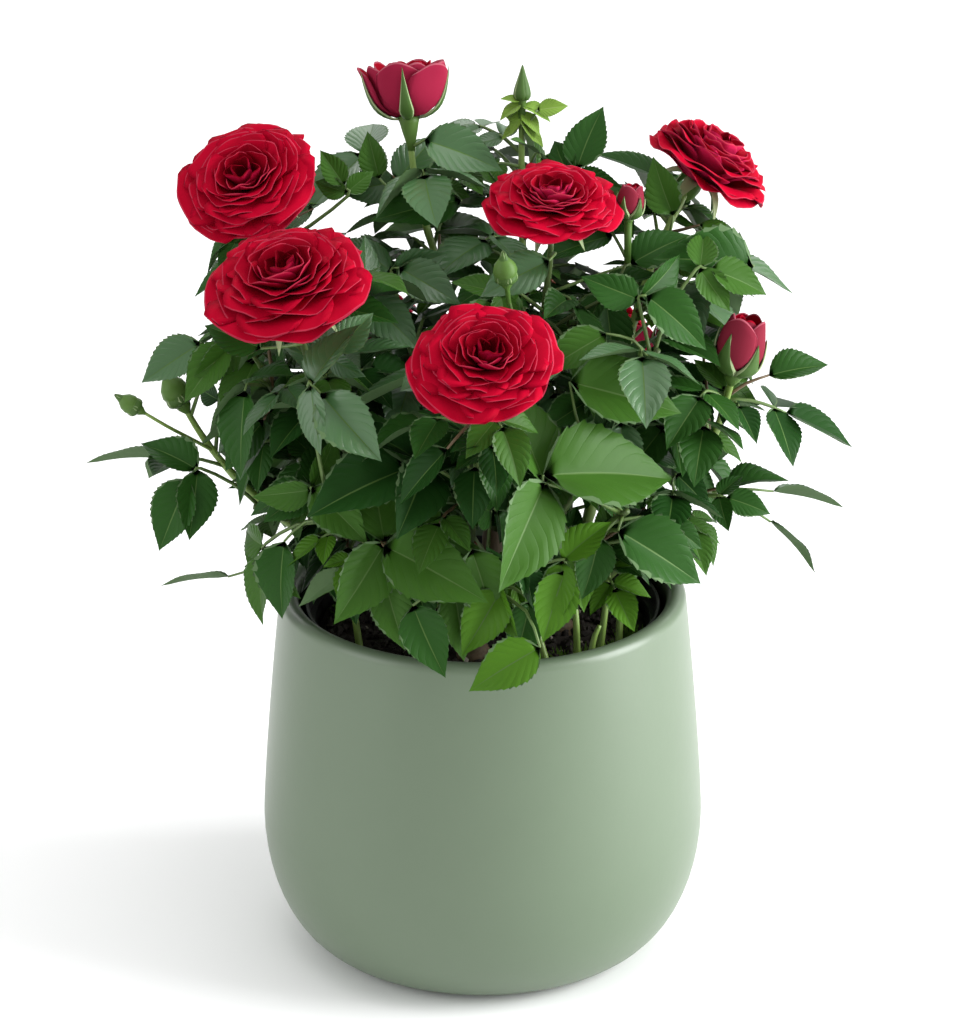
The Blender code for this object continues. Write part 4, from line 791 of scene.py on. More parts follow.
# %% Leaves as numbers
def compound_leaf(rng, root, base, way, face, size, pairs):
    """A petiole that arches from its root to the base of the leaf's last leaflet, with pairs on the way.

    Its line has two points at each pair, JOINT_LENGTH apart, and joints lists the number of the first one.
    """
    span = (base - root).length
    first_way = ((base - root).normalized() + UP * 0.35).normalized()
    ends = (root, root + first_way * span * 0.35, base - way * span * 0.35, base)
    back = [at * size for at in PAIRS_AT[:pairs] if at * size < 0.62 * span]
    back = back[::-1]

    def lengths(whole):
        first = whole - (back[0] if back else 0)
        stops = [0.0, first * 0.5] if first > 14 * MM else [0.0]
        for away in back:
            stops += [whole - away - JOINT_LENGTH / 2, whole - away + JOINT_LENGTH / 2]
        return stops + [whole]

    spine = along_curve(ends, lengths)
    face = (face - way * face.dot(way)).normalized()
    first_joint = len(spine) - 1 - 2 * len(back)
    joints = [first_joint + 2 * k for k in range(len(back))]
    leaflets = []
    for k, joint in enumerate(joints):
        foot = (spine[joint] + spine[joint + 1]) / 2
        line = (spine[joint + 1] - spine[joint]).normalized()
        up = (face - line * face.dot(line)).normalized()
        level = up.cross(line)
        share = PAIR_SIZES[len(back) - 1 - k]
        for hand in (1, -1):
            spread = math.radians(rng.uniform(*PAIR_SPREAD))
            drop = rng.uniform(0.0, 0.35)
            aim = (line * math.cos(spread) + level * hand * math.sin(spread) - up * drop).normalized()
            tilt = up + level * hand * drop * 0.8
            tilt = (tilt - aim * tilt.dot(aim)).normalized()
            leaflets.append(Leaflet(foot, aim, tilt, size * share * rng.uniform(0.9, 1.05)))
    leaflets.append(Leaflet(base, way, face, size))
    return Leaf(spine, PETIOLE_RADIUS, leaflets)


def leaf_by_rule(rng, root, stem_way, turn, size, droop_range):
    """A leaf that leaves its stem at this turn round it, leans outwards and droops towards its tip."""
    side, over = across(stem_way)
    outward = Vector((root.x, root.y, 0)).normalized()
    out = side * math.cos(turn) + over * math.sin(turn) + outward * 0.6
    out = Vector((out.x, out.y, out.z * 0.4)).normalized()
    pairs = rng.choice((1, 1, 2))
    length = (0.36 + 0.40 * pairs) * size * rng.uniform(0.9, 1.15)
    rise = math.radians(rng.uniform(-5, 45))
    droop = math.radians(rng.uniform(*droop_range))
    base = root + (out * math.cos(rise) + UP * math.sin(rise)) * length
    way = (out * math.cos(droop) - UP * math.sin(droop)).normalized()
    level = way.cross(UP).normalized()
    face = level.cross(way) + outward * 0.25 + level * rng.uniform(-0.4, 0.4)
    return compound_leaf(rng, root, base, way, face, size, pairs)


def aimed_leaf(rng, held, aim, shift):
    """A leaf whose last leaflet stands where its row puts it, rooted on the nearest fitting bit of cane."""
    base, tip = in_mm(aim.base) + shift, in_mm(aim.tip) + shift
    way = (tip - base).normalized()
    behind = base - way * (12 + 9 * aim.pairs) * MM - UP * 4 * MM
    lowest = (held["entry"] + 0.4) / (len(held["line"]) - 1)
    shares = [lowest + (0.95 - lowest) * i / 40 for i in range(41)]
    root = min((point_on(held["line"], share) for share in shares), key=lambda p: (p - behind).length)
    return compound_leaf(rng, root, base, way, Vector(aim.face), (tip - base).length, aim.pairs)

# %% [markdown]
# ## Keeping clear
#
# A leaf, a tube or a bloom is stood in for by a few triangles in a BVH tree, and a new one is placed only
# where its triangles meet no others. That is how a crown fills up without any leaf passing through another.

# %% Stand-ins for leaves and tubes
def leaflet_ring(leaflet, thickness):
    """The four corners of a leaflet where it is widest, {(side, face): corner}, and its tip."""
    size = leaflet.length
    side = leaflet.face.cross(leaflet.way).normalized() * (size * LEAFLET_WIDTH / 2)
    thick = leaflet.face * (size * thickness / 2)
    middle = leaflet.base + leaflet.way * (size * LEAFLET_WIDEST)
    corners = {(s, f): middle + side * s + thick * f for s in (1, -1) for f in (1, -1)}
    tip = leaflet.base + leaflet.way * size - leaflet.face * (size * LEAFLET_BEND)
    return corners, tip


def proxy_of_leaf(leaf):
    """Triangles that stand for a leaf, a little thicker than it, in tests for clearance."""
    points, faces = [], []
    for leaflet in leaf.leaflets:
        start = len(points)
        corners, tip = leaflet_ring(leaflet, PROXY_THICKNESS)
        points += [corners[1, 1], corners[1, -1], corners[-1, -1], corners[-1, 1], leaflet.base, tip]
        for k in range(4):
            faces += [(start + k, start + (k + 1) % 4, start + end) for end in (4, 5)]
    root, second = leaf.spine[:2]
    first = root.lerp(second, min(0.5, ROOT_IN_STEM / (second - root).length))
    add_proxy_tube([first] + leaf.spine[1:], [leaf.radius * 1.5] * len(leaf.spine), points, faces)
    return points, faces


def add_proxy_tube(line, radii, points, faces):
    """Adds an open four-sided tube along the line to these lists."""
    start = len(points)
    for i, centre in enumerate(line):
        way = (line[min(i + 1, len(line) - 1)] - line[max(i - 1, 0)]).normalized()
        side, over = across(way)
        for k in range(4):
            a = math.tau * k / 4
            points.append(centre + (side * math.cos(a) + over * math.sin(a)) * radii[i])
    for i in range(len(line) - 1):
        for k in range(4):
            a = start + i * 4 + k
            b = start + i * 4 + (k + 1) % 4
            faces += [(a, b, b + 4), (a, b + 4, a + 4)]


def proxy_of_tube(line, radii):
    """Triangles round a tube, nearly half a millimetre out from it."""
    points, faces = [], []
    add_proxy_tube(line, [r * 1.3 + 0.4 * MM for r in radii], points, faces)
    return points, faces

# %% Stand-ins for flowers
def flower_solid(flower):
    """A bloom or bud: its outline spun round the axis, with each ring of petals scalloped."""
    outline = BLOOM_OUTLINES[flower.kind]
    segments = BLOOM_SEGMENTS[flower.kind]
    bm = bmesh.new()
    for ring, (away, height, scallop) in enumerate(outline):
        level = Matrix.Translation((0, 0, height))
        made = bmesh.ops.create_circle(bm, radius=1, segments=segments, matrix=level)
        for k, v in enumerate(made["verts"]):
            petal = 1 + scallop * (1 if (k + ring // 2) % 2 else -1)
            v.co.x *= away * petal
            v.co.y *= away * petal
    bm.verts.ensure_lookup_table()
    rings = [bm.verts[i * segments : (i + 1) * segments] for i in range(len(outline))]
    for lower, upper in zip(rings, rings[1:]):
        for k in range(segments):
            n = (k + 1) % segments
            bm.faces.new((lower[k], lower[n], upper[n], upper[k]))
    for ring in (rings[0], rings[-1]):
        bm.faces.new(ring)
    place = Matrix.Translation(flower.base - flower.axis * BLOOM_SUNK)
    turn = UP.rotation_difference(flower.axis).to_matrix().to_4x4()
    bmesh.ops.transform(bm, matrix=place @ turn @ Matrix.Scale(flower.width, 4), verts=bm.verts)
    return bm


def proxy_of_flower(flower):
    """Triangles of a bloom or bud a little wider than it is."""
    bm = flower_solid(flower._replace(width=flower.width * 1.07))
    bmesh.ops.triangulate(bm, faces=bm.faces)
    points = [v.co.copy() for v in bm.verts]
    faces = [tuple(v.index for v in f.verts) for f in bm.faces]
    bm.free()
    return points, faces

# %% The pots' stand-in and the space they all share
def proxy_of_rim():
    """The upper wall of both pots and the soil's surface, 2 mm out from each, as rings round the axis."""
    margin = 2 * MM
    lip_radius = PLANTER_BELLY_RADIUS - PLANTER_SHOULDER_DROP
    outline = [
        (PLANTER_BELLY_RADIUS + margin, 60 * MM),
        (PLANTER_BELLY_RADIUS - 2 * MM, 95 * MM),
        (lip_radius + margin, PLANTER_HEIGHT - 3 * MM),
        (lip_radius - 2 * MM, PLANTER_HEIGHT + margin),
        (LINER_RIM_RADIUS - 2.5 * MM, PLANTER_HEIGHT + margin),
        (LINER_RIM_RADIUS - 4 * MM, LINER_TOP - 2 * MM),
        (LINER_RIM_RADIUS - 5 * MM, SOIL_TOP + margin),
        (0.1 * MM, SOIL_TOP + margin),
    ]
    count = 32
    points, faces = [], []
    for away, height in outline:
        ring = [math.tau * k / count for k in range(count)]
        points += [Vector((away * math.cos(a), away * math.sin(a), height)) for a in ring]
    for i in range(len(outline) - 1):
        for k in range(count):
            a = i * count + k
            b = i * count + (k + 1) % count
            faces += [(a, b, b + count), (a, b + count, a + count)]
    return points, faces


class Space:
    """Everything placed so far, so that what comes next can keep clear of it."""

    def __init__(self):
        self.trees = []

    def add(self, shape):
        self.trees.append((BVHTree.FromPolygons(*shape), *box_of(shape[0])))

    def is_free(self, shape):
        low, high = box_of(shape[0])
        if low.z < PLANTER_HEIGHT * 0.8:
            return False
        tree = None
        for other, other_low, other_high in self.trees:
            if any(low[k] > other_high[k] or high[k] < other_low[k] for k in range(3)):
                continue
            tree = tree or BVHTree.FromPolygons(*shape)
            if tree.overlap(other):
                return False
        return True


def box_of(points):
    low = Vector([min(p[k] for p in points) for k in range(3)])
    high = Vector([max(p[k] for p in points) for k in range(3)])
    return low, high

# %% Wood before leaves
def lay_out_wood():
    """Every cane with its twigs and flowers, as {shoot name: what its mass holds}."""
    plant = {}
    for shoot in SHOOTS:
        line = cane_points(shoot)
        entry = max(2, round(MASS_STARTS * (len(line) - 1)))
        radii = taper(CANE_RADIUS, CANE_TIP_RADIUS, len(line))
        held = {"line": line, "radii": radii, "entry": entry, "twigs": [], "flowers": [], "leaves": []}
        if shoot.bloom:
            axis = (line[-1] - line[-2]).normalized()
            held["flowers"].append(Flower(line[-1], axis, shoot.bloom, shoot.width * MM))
        plant[shoot.name] = held
    for bud in SIDE_BUDS:
        held = plant[bud.shoot]
        root, tip = point_on(held["line"], bud.along), in_mm(bud.tip)
        axis = Vector(bud.axis).normalized()
        reach = (tip - root).length * 0.4
        out = (tip - root).normalized()
        points = walk((root, root + out * reach, tip - axis * reach, tip), CANE_STEP)
        held["twigs"].append(Twig(points, taper(SIDE_TWIG_RADIUS, SIDE_TWIG_RADIUS * 0.8, len(points))))
        held["flowers"].append(Flower(tip, axis, bud.bloom, bud.width * MM))
    return plant


def fill_space(plant):
    """The space with all wood, flowers and both pots in it, before the first leaf."""
    space = Space()
    space.add(proxy_of_rim())
    for stem in STEMS.values():
        space.add(proxy_of_tube(stem_points(stem), stem_radii()))
    for held in plant.values():
        space.add(proxy_of_tube(held["line"], held["radii"]))
        for twig in held["twigs"]:
            space.add(proxy_of_tube(twig.points, twig.radii))
        for flower in held["flowers"]:
            space.add(proxy_of_flower(flower))
    return space


# %% Growth
def grow_plant():
    """Works out every cane, twig, leaf and flower. A leaf that finds no free place is left out."""
    plant = lay_out_wood()
    space = fill_space(plant)
    rng = random.Random(AIM_SEED)
    for aim in AIMED_LEAVES:
        for attempt in range(AIM_TRIES):
            shift = Vector([rng.uniform(-1, 1) for _ in range(3)]) * (AIM_SHIFT * attempt / AIM_TRIES)
            leaf = aimed_leaf(rng, plant[aim.shoot], aim, shift)
            shape = proxy_of_leaf(leaf)
            if space.is_free(shape):
                plant[aim.shoot]["leaves"].append(leaf)
                space.add(shape)
                break
    growing = []
    for shoot in SHOOTS:
        growing.append((shoot, leaf_places(shoot, plant[shoot.name]), random.Random(shoot.seed)))
    while growing:  # one leaf for each shoot in turn, so that no mass takes another's space
        for shoot, places, rng in list(growing):
            if not places:
                growing.remove((shoot, places, rng))
                continue
            share, turn, size = places.pop(0)
            line, droop_range = plant[shoot.name]["line"], LEAF_DROOP[shoot.bloom]
            leaf = fitting_leaf(rng, line, share, turn, size, droop_range, space)
            if leaf:
                plant[shoot.name]["leaves"].append(leaf)
    return plant


def within_crown(points):
    """True if every point is nearer to the axis than the crown's reach at its height."""
    for p in points:
        height = p.z / MM
        if not CROWN[0][0] < height < CROWN[-1][0]:
            return False
        i = next(k for k in range(1, len(CROWN)) if height <= CROWN[k][0])
        (low, near), (high, far) = CROWN[i - 1], CROWN[i]
        away = math.hypot(p.x, p.y) / MM
        reach = near + (far - near) * (height - low) / (high - low)
        if away > reach + reach * CROWN_BACK * max(0, p.y / MM) / (away + 1):
            return False
    return True


def leaf_places(shoot, held):
    """Where leaves may sit along a shoot: share of the cane, turn round it, and size."""
    rng = random.Random(shoot.seed)
    line = held["line"]
    whole = sum((b - a).length for a, b in zip(line, line[1:]))
    first = whole * held["entry"] / (len(line) - 1) + 4 * MM
    last = whole - BARE_NECK[shoot.bloom]
    turn = rng.uniform(0, math.tau)
    places = []
    at = first
    while at < last:
        size = TERMINAL_LEAFLET * shoot.leaves * (1.06 - 0.18 * (at - first) / (last - first))
        places.append((at / whole, turn, size))
        turn += LEAF_TURN
        at += LEAF_SPACING * rng.uniform(0.85, 1.15)
    return places


def fitting_leaf(rng, line, share, turn, size, droop_range, space):
    """The first of several tries at a leaf that keeps clear of all else, or None."""
    root = point_on(line, share)
    way = (point_on(line, min(1, share + 0.05)) - point_on(line, share - 0.05)).normalized()
    for attempt in range(LEAF_TRIES):
        swing = turn + rng.uniform(-1, 1) * (0.3 + 0.16 * attempt)
        leaf = leaf_by_rule(rng, root, way, swing, size * 0.98**attempt, droop_range)
        shape = proxy_of_leaf(leaf)
        if within_crown(shape[0]) and space.is_free(shape):
            space.add(shape)
            return leaf
    return None


plant = grow_plant()
leaflet_count = sum(len(leaf.leaflets) for held in plant.values() for leaf in held["leaves"])
print(leaflet_count, "leaflets on the named leaves and those of the rule")


# %% [markdown]
# ## Stems, canes and thorns
#
# Old wood at the foot is brown and a little rough; a rose's canes stay green for years, and the newest
# ones, which carry the blooms, are light green. So there are three finishes of bark and each cane takes the
# one of its age. A cane is skinned with rings along its smoothed line. It swells a little at each leaf's
# node. Thorns are small hooks that point down the cane; they keep the plant from slipping when it leans on
# its neighbours.

# %% Tubes along a line
def smoothed(line, parts):
    """More points on a line, on a Catmull-Rom curve through the given ones."""
    ends = [line[0] * 2 - line[1]] + list(line) + [line[-1] * 2 - line[-2]]
    points = []
    for i in range(1, len(ends) - 2):
        a, b, c, d = ends[i - 1 : i + 3]
        second, third = a * 2 - b * 5 + c * 4 - d, b * 3 - a - c * 3 + d
        for k in range(parts):
            t = k / parts
            points.append((b * 2 + (c - a) * t + second * t * t + third * t**3) / 2)
    return points + [line[-1]]


def add_tube(bm, line, radii, sides, material=0):
    """A closed tube in this bmesh: a circle at each point of the line, bridged to the next, and two caps."""
    last = len(line) - 1
    ways = [(line[min(i + 1, last)] - line[max(i - 1, 0)]).normalized() for i in range(last + 1)]
    side = across(ways[0])[0]
    spokes = [math.tau * k / sides for k in range(sides)]
    rings = []
    for point, way, radius in zip(line, ways, radii):
        side = (side - way * side.dot(way)).normalized()
        over = way.cross(side)
        outs = [side * math.cos(a) + over * math.sin(a) for a in spokes]
        rings.append([bm.verts.new(point + out * radius) for out in outs])
    made = [bm.faces.new(rings[0][::-1]), bm.faces.new(rings[-1])]
    for lower, upper in zip(rings, rings[1:]):
        for k in range(sides):
            n = (k + 1) % sides
            made.append(bm.faces.new((lower[k], lower[n], upper[n], upper[k])))
    for face in made:
        face.material_index = material


THORN_BASE = ((-0.55, 0), (0, 0.3), (0.55, 0), (0, -0.3))  # down the cane and across it, of the thorn's size


def add_thorn(bm, foot, out, down, size, material=0):
    """A thorn: a narrow base on the bark, drawn out into a hooked point."""
    along = down.normalized()
    level = along.cross(out).normalized()
    base = []
    for a, b in THORN_BASE:
        base.append(bm.verts.new(foot + along * a * size + level * b * size - out * 0.3 * size))
    tip = bm.verts.new(foot + out * size * 1.25 + along * size * 0.55)
    made = [bm.faces.new((base[k], base[(k + 1) % 4], tip)) for k in range(4)] + [bm.faces.new(base[::-1])]
    for face in made:
        face.material_index = material


# %% Bark
STRETCHED = (1.0, 1.0, 0.22)  # bark grain runs up the stem
BARKS = {  # two colours, fineness of the grain, roughness, relief
    "old_bark": ((0.15, 0.095, 0.05), (0.055, 0.045, 0.018), 420.0, 0.72, 0.5 * MM),
    "green_bark": ((0.085, 0.135, 0.03), (0.05, 0.085, 0.02), 300.0, 0.5, 0.2 * MM),
    "young_bark": ((0.22, 0.34, 0.07), (0.15, 0.25, 0.05), 260.0, 0.42, 0.1 * MM),
}
old_bark, green_bark, young_bark = [mottled_finish(name, *row, STRETCHED) for name, row in BARKS.items()]
thorn_finish = plain_finish("thorns", (0.20, 0.055, 0.03), 0.45)
print("barks:", ", ".join(BARKS))

# %% Stems
STEM_SIDES = 12
wood_rng = random.Random(21)
for stem in STEMS.values():
    stem_bm = bmesh.new()
    stem_line = smoothed(stem_points(stem), 6)
    known = [Vector((r, 0, 0)) for r in stem_radii()]
    shares = [i / (len(stem_line) - 1) for i in range(len(stem_line))]
    lumpy = [point_on(known, share).x * wood_rng.uniform(0.93, 1.05) for share in shares]
    stem_line[0] = stem_line[0] - UP * 2 * MM
    add_tube(stem_bm, stem_line, lumpy, STEM_SIDES)
    finish_piece(stem.name + "_bark", stem_bm, [old_bark], [stem.name])

# %% Canes, twigs and thorns
YOUNG = ("top_cup", "top_bud", "right_bud", "left_buds", "upper_right_bloom")
CANE_SIDES, TWIG_SIDES = 9, 7
NODE_SWELL = 1.12  # how much thicker a cane is at a leaf's node
THORN_SIZES = (0.9, 1.7)  # mm

for shoot in SHOOTS:
    held = plant[shoot.name]
    cane_bm = bmesh.new()
    cane_line = smoothed(held["line"], 4)
    count = len(cane_line)
    even = taper(CANE_RADIUS, CANE_TIP_RADIUS, count)
    cane_widths = [r * (NODE_SWELL if i % 5 == 2 else 1) for i, r in enumerate(even)]
    add_tube(cane_bm, cane_line, cane_widths, CANE_SIDES)
    for _ in range(max(4, count // 5)):
        i = wood_rng.randrange(2, count - 3)
        way = (cane_line[i + 1] - cane_line[i - 1]).normalized()
        side, over = across(way)
        turn = wood_rng.uniform(0, math.tau)
        out = side * math.cos(turn) + over * math.sin(turn)
        foot = cane_line[i] + out * cane_widths[i]
        add_thorn(cane_bm, foot, out, -way, wood_rng.uniform(*THORN_SIZES) * MM, 1)
    for twig in held["twigs"]:
        twig_line = smoothed(twig.points, 3)
        slim = taper(twig.radii[0] * 0.75, twig.radii[-1] * 0.75, len(twig_line))
        add_tube(cane_bm, twig_line, slim, TWIG_SIDES)
    bark = young_bark if shoot.name in YOUNG else green_bark
    finish_piece("bark_" + shoot.name, cane_bm, [bark, thorn_finish], ["cane_" + shoot.name])

# %% New shoots from the base
BASE_SHOOTS = [  # foot (x, y) and tip, in mm
    ((31, -38), (25, -27, 150)), ((38, -30), (41, -20, 155)), ((45, -20), (47, -8, 150)),
    ((23, -45), (15, -35, 138)), ((34, -42), (38, -39, 128)), ((-40, -26), (-47, -20, 146)),
]
BASE_SHOOT_RADII = (1.35 * MM, 0.7 * MM)
shoots_bm = bmesh.new()
for (x, y), tip in BASE_SHOOTS:
    foot = Vector((x, y, 0)) * MM
    foot.z = soil_height(foot.x, foot.y) - 2 * MM
    bulge = Vector((wood_rng.uniform(-3, 3), wood_rng.uniform(-3, 3), 4)) * MM
    shoot_line = smoothed([foot, (foot + Vector(tip) * MM) / 2 + bulge, Vector(tip) * MM], 6)
    add_tube(shoots_bm, shoot_line, taper(*BASE_SHOOT_RADII, len(shoot_line)), TWIG_SIDES)
finish_piece("base_shoots", shoots_bm, [young_bark])


# %% [markdown]
# ## More leaves inside the crown
#
# The solids carry as many leaves as a light mesh can. The real plant has more, mostly smaller ones that
# fill the gaps further in. The same rule grows them, at other places along the same canes, inside the same
# outline and clear of everything else. A few leaves are set by name, to hang over the rim in front of the
# soil.

# %% Second growth
FILL_SIZE = (0.46, 0.74)  # of the common leaf
FILL_ROUNDS = 2


def grow_fillers():
    """Adds the finer leaves to each shoot's own list of fillers."""
    space = fill_space(plant)
    for held in plant.values():
        for leaf in held["leaves"]:
            space.add(proxy_of_leaf(leaf))
    rng = random.Random(77)
    for _ in range(FILL_ROUNDS):
        for shoot in SHOOTS:
            held = plant[shoot.name]
            for share, turn, _size in leaf_places(shoot, held):
                size = TERMINAL_LEAFLET * rng.uniform(*FILL_SIZE)
                share = min(0.97, share + rng.uniform(-0.04, 0.04))
                turn += rng.uniform(1, 5)
                droop_range = LEAF_DROOP[shoot.bloom]
                leaf = fitting_leaf(rng, held["line"], share, turn, size, droop_range, space)
                if leaf:
                    held["fillers"].append(leaf)


RIM_LEAVES = [  # that hang in front of the soil
    Aimed("front_skirt", (6, -64, 151), (-6, -74, 132), (-0.1, -0.9, 0.4), 1),
    Aimed("front_skirt", (-9, -62, 150), (-5, -72, 130), (0.1, -0.9, 0.35), 0),
    Aimed("front_skirt", (15, -64, 147), (11, -73, 129), (0.1, -0.9, 0.3), 0),
    Aimed("front_left", (-31, -60, 152), (-25, -69, 132), (-0.2, -0.9, 0.3), 0),
    Aimed("front_left", (-43, -46, 150), (-60, -50, 141), (-0.2, 0.8, 0.5), 0),
]

for held in plant.values():
    held["fillers"] = []
grow_fillers()
rim_rng = random.Random(8)
for aim in RIM_LEAVES:
    held = plant[aim.shoot]
    held["fillers"].append(aimed_leaf(rim_rng, held, aim, Vector((0, 0, 0))))
filler_count = sum(len(leaf.leaflets) for held in plant.values() for leaf in held["fillers"])
print(filler_count, "leaflets in the fill")

# %% [markdown]
# ## A rose leaflet
#
# A leaflet is an oval with a drawn-out tip, a saw-toothed edge, a sunken pale midrib and side veins that
# pull the blade into soft quilting. It is folded a little along the midrib and its tip curls down. One flat
# sheet would vanish seen edge-on and would show its glossy upper face from below, so the blade is made of
# two sheets that share their edge: glossy green above, duller and paler below. The plant has hundreds, so
# the shape is modelled only nine times, with few faces, and copied with a matrix for each place.

# %% Leaflet shapes
LEAFLET_ROWS = 7
LEAFLET_COLUMNS = (-1.0, -0.5, -0.028, 0.028, 0.5, 1.0)  # of the half width; the middle pair edges the midrib
BLADE_THICKNESS = 0.012  # of the length
TOOTH = ((0.42, 1.075), (0.5, 0.985), (0.92, 1.07))  # share of the edge that is left, and how far out it goes
SHAPES = 9


def half_width(u):
    """Half the blade's width at u along it, of its length: full low down, drawn out at the tip."""
    return LEAFLET_WIDTH / 2 * 3.72 * u**0.75 * (1 - u) ** 1.25


def leaflet_shape(rng):
    """A leaflet one unit long in its own bmesh: +Y from base to tip, +Z the upper face."""
    fold, curl, skew = rng.uniform(0.18, 0.50), rng.uniform(0.05, 0.19), rng.uniform(-0.07, 0.07)
    bulge, wave, phase = rng.uniform(0.02, 0.24), rng.uniform(0.010, 0.028), rng.uniform(0, math.tau)
    bm = bmesh.new()
    uv = bm.loops.layers.uv.new("UVMap")
    bmesh.ops.create_grid(bm, x_segments=len(LEAFLET_COLUMNS) - 1, y_segments=LEAFLET_ROWS, size=1)
    place = {}
    for v in bm.verts:
        column = round((v.co.x + 1) / 2 * (len(LEAFLET_COLUMNS) - 1))
        u = min(1.0, max(0.0, (v.co.y + 1) / 2))
        place[v] = (LEAFLET_COLUMNS[column], u)
    side_edges = []
    for edge in bm.edges:
        first, second = (place[v][0] for v in edge.verts)
        if first == second and abs(first) == 1:
            side_edges.append(edge)
    for edge in side_edges:
        a, b = sorted(edge.verts, key=lambda v: v.co.y)
        side, low, high = place[a][0], place[a][1], place[b][1]
        tail = a
        for share, out in TOOTH:
            rest = next(e for e in tail.link_edges if e.other_vert(tail) is b)
            _, fresh = bmesh.utils.edge_split(rest, tail, 0.5)
            place[fresh] = (side * out, low + (high - low) * share)
            tail = fresh
    for v, (across_share, u) in place.items():
        reach = half_width(u)
        x = across_share * reach + skew * u * u
        away = abs(across_share) * reach
        quilt = bulge * reach * 2 * abs(across_share) * max(0.0, 1 - abs(across_share))
        ripple = wave * math.sin(9 * u + phase) * across_share**2 * (1 - u) ** 0.5
        z = away * fold + quilt - curl * u**2.2 + ripple
        z -= 0.012 * (abs(across_share) < 0.1) * min(1, 6 * u, 6 * (1 - u))
        v.co = Vector((x, u, z))
    for face in bm.faces:
        centre = [place[v][0] for v in face.verts]
        face.material_index = 1 if max(abs(c) for c in centre) < 0.05 else 0
        for loop in face.loops:
            across_share, u = place[loop.vert]
            loop[uv].uv = (0.5 + 0.5 * across_share, u)
    edge_verts = {v for e in bm.edges if e.is_boundary for v in e.verts}
    upper = list(bm.faces)
    copy = bmesh.ops.duplicate(bm, geom=list(bm.verts) + list(bm.edges) + upper)
    under = [g for g in copy["geom"] if isinstance(g, bmesh.types.BMFace)]
    bmesh.ops.reverse_faces(bm, faces=under)
    for face in under:
        face.material_index = 2
    twins = copy["vert_map"]
    for v in [v for v in place if v in twins and v not in edge_verts]:
        twins[v].co.z -= BLADE_THICKNESS
    bmesh.ops.remove_doubles(bm, verts=bm.verts, dist=1e-5)
    mesh = bpy.data.meshes.new("leaflet_shape")
    bm.to_mesh(mesh)
    bm.free()
    return mesh


shape_rng = random.Random(5)
LEAFLET_SHAPES = [leaflet_shape(shape_rng) for _ in range(SHAPES)]
print("leaflet shapes:", [len(m.polygons) for m in LEAFLET_SHAPES], "faces")

# %% [markdown]
# ## Leaf greens
#
# New leaves are yellow-green and thin, grown ones deep green with a waxy shine. Each leaf is dealt one
# green, partly by chance and partly by place: the bright green low at the front is painted light, the
# deepest greens inside the crown are painted shade, and the grey-blue tint of the glossy greens is partly a
# painted reflection. The veins are a bump read from the leaflet's own UV: side veins rise from the midrib
# at a slant. The bump only turns the light, so it costs no faces.

# %% Vein group
def make_veins():
    """Height of a leaflet's veins from its UV: 1 between the side veins and 0 in them."""
    group = bpy.data.node_groups.new("leaf_veins", "ShaderNodeTree")
    group.interface.new_socket("Height", in_out="OUTPUT", socket_type="NodeSocketFloat")
    nodes, links = group.nodes, group.links
    result = nodes.new("NodeGroupOutput")
    where = nodes.new("ShaderNodeUVMap")
    parts = nodes.new("ShaderNodeSeparateXYZ")
    links.new(where.outputs["UV"], parts.inputs[0])

    def maths(operation, a, b):
        node = nodes.new("ShaderNodeMath")
        node.operation = operation
        for socket, value in zip(node.inputs, (a, b)):
            if isinstance(value, float):
                socket.default_value = value
            elif value is not None:
                links.new(value, socket)
        return node.outputs[0]

    away = maths("ABSOLUTE", maths("SUBTRACT", parts.outputs["X"], 0.5), None)
    slant = maths("SUBTRACT", maths("MULTIPLY", parts.outputs["Y"], 8.0), maths("MULTIPLY", away, 5.0))
    saw = maths("PINGPONG", slant, 0.5)
    ridge = maths("POWER", maths("MULTIPLY", saw, 2.0), 0.45)
    from_tip = maths("SUBTRACT", 1.0, parts.outputs["Y"])
    ends = maths("MULTIPLY", maths("MULTIPLY", parts.outputs["Y"], from_tip), 4.0)
    fading = maths("MULTIPLY", maths("POWER", ends, 1.5), maths("MULTIPLY", away, 2.0))
    links.new(maths("MULTIPLY", ridge, fading), result.inputs["Height"])
    return group


veins = make_veins()
print("group:", veins.name)

# %% Leaf finishes
VEIN_DEPTH, VEIN_STRENGTH = 0.4 * MM, 0.8


def leaf_finish(name, colour, roughness, coat, specular):
    """A plain finish with the veins' relief."""
    material = plain_finish(name, colour, roughness, coat, specular=specular)
    group = material.node_tree.nodes.new("ShaderNodeGroup")
    group.node_tree = veins
    add_relief(material, group.outputs["Height"], VEIN_DEPTH, VEIN_STRENGTH)
    return material


GREENS = {  # base colour, roughness, coat, specular
    # Dealt by place, the deepest green here is painted shade inside the crown and the bright one painted
    # light low at the front.
    "leaf_deep": ((0.011, 0.047, 0.007), 0.44, 0.0, 0.08),
    "leaf_dark": ((0.018, 0.068, 0.009), 0.42, 0.0, 0.11),
    "leaf_mid": ((0.035, 0.099, 0.011), 0.43, 0.0, 0.11),
    # Partly painted reflection: this green's grey-blue tint stands for the bluish glint on glossy leaves,
    # beside its real coat and specular.
    "leaf_blue": ((0.048, 0.119, 0.039), 0.31, 0.16, 0.42),
    "leaf_bright": ((0.056, 0.150, 0.010), 0.43, 0.0, 0.10),
    "leaf_fresh": ((0.19, 0.33, 0.045), 0.48, 0.0, 0.2),
}
leaf_materials = {name: leaf_finish(name, *values) for name, values in GREENS.items()}
midrib_finish = plain_finish("leaf_midrib", (0.066, 0.135, 0.028), 0.5, specular=0.2)
fresh_midrib = plain_finish("leaf_midrib_fresh", (0.26, 0.36, 0.10), 0.45)
underside_finish = plain_finish("leaf_underside", (0.085, 0.150, 0.060), 0.6, specular=0.2)
fresh_underside = plain_finish("leaf_underside_fresh", (0.18, 0.28, 0.08), 0.6, specular=0.2)
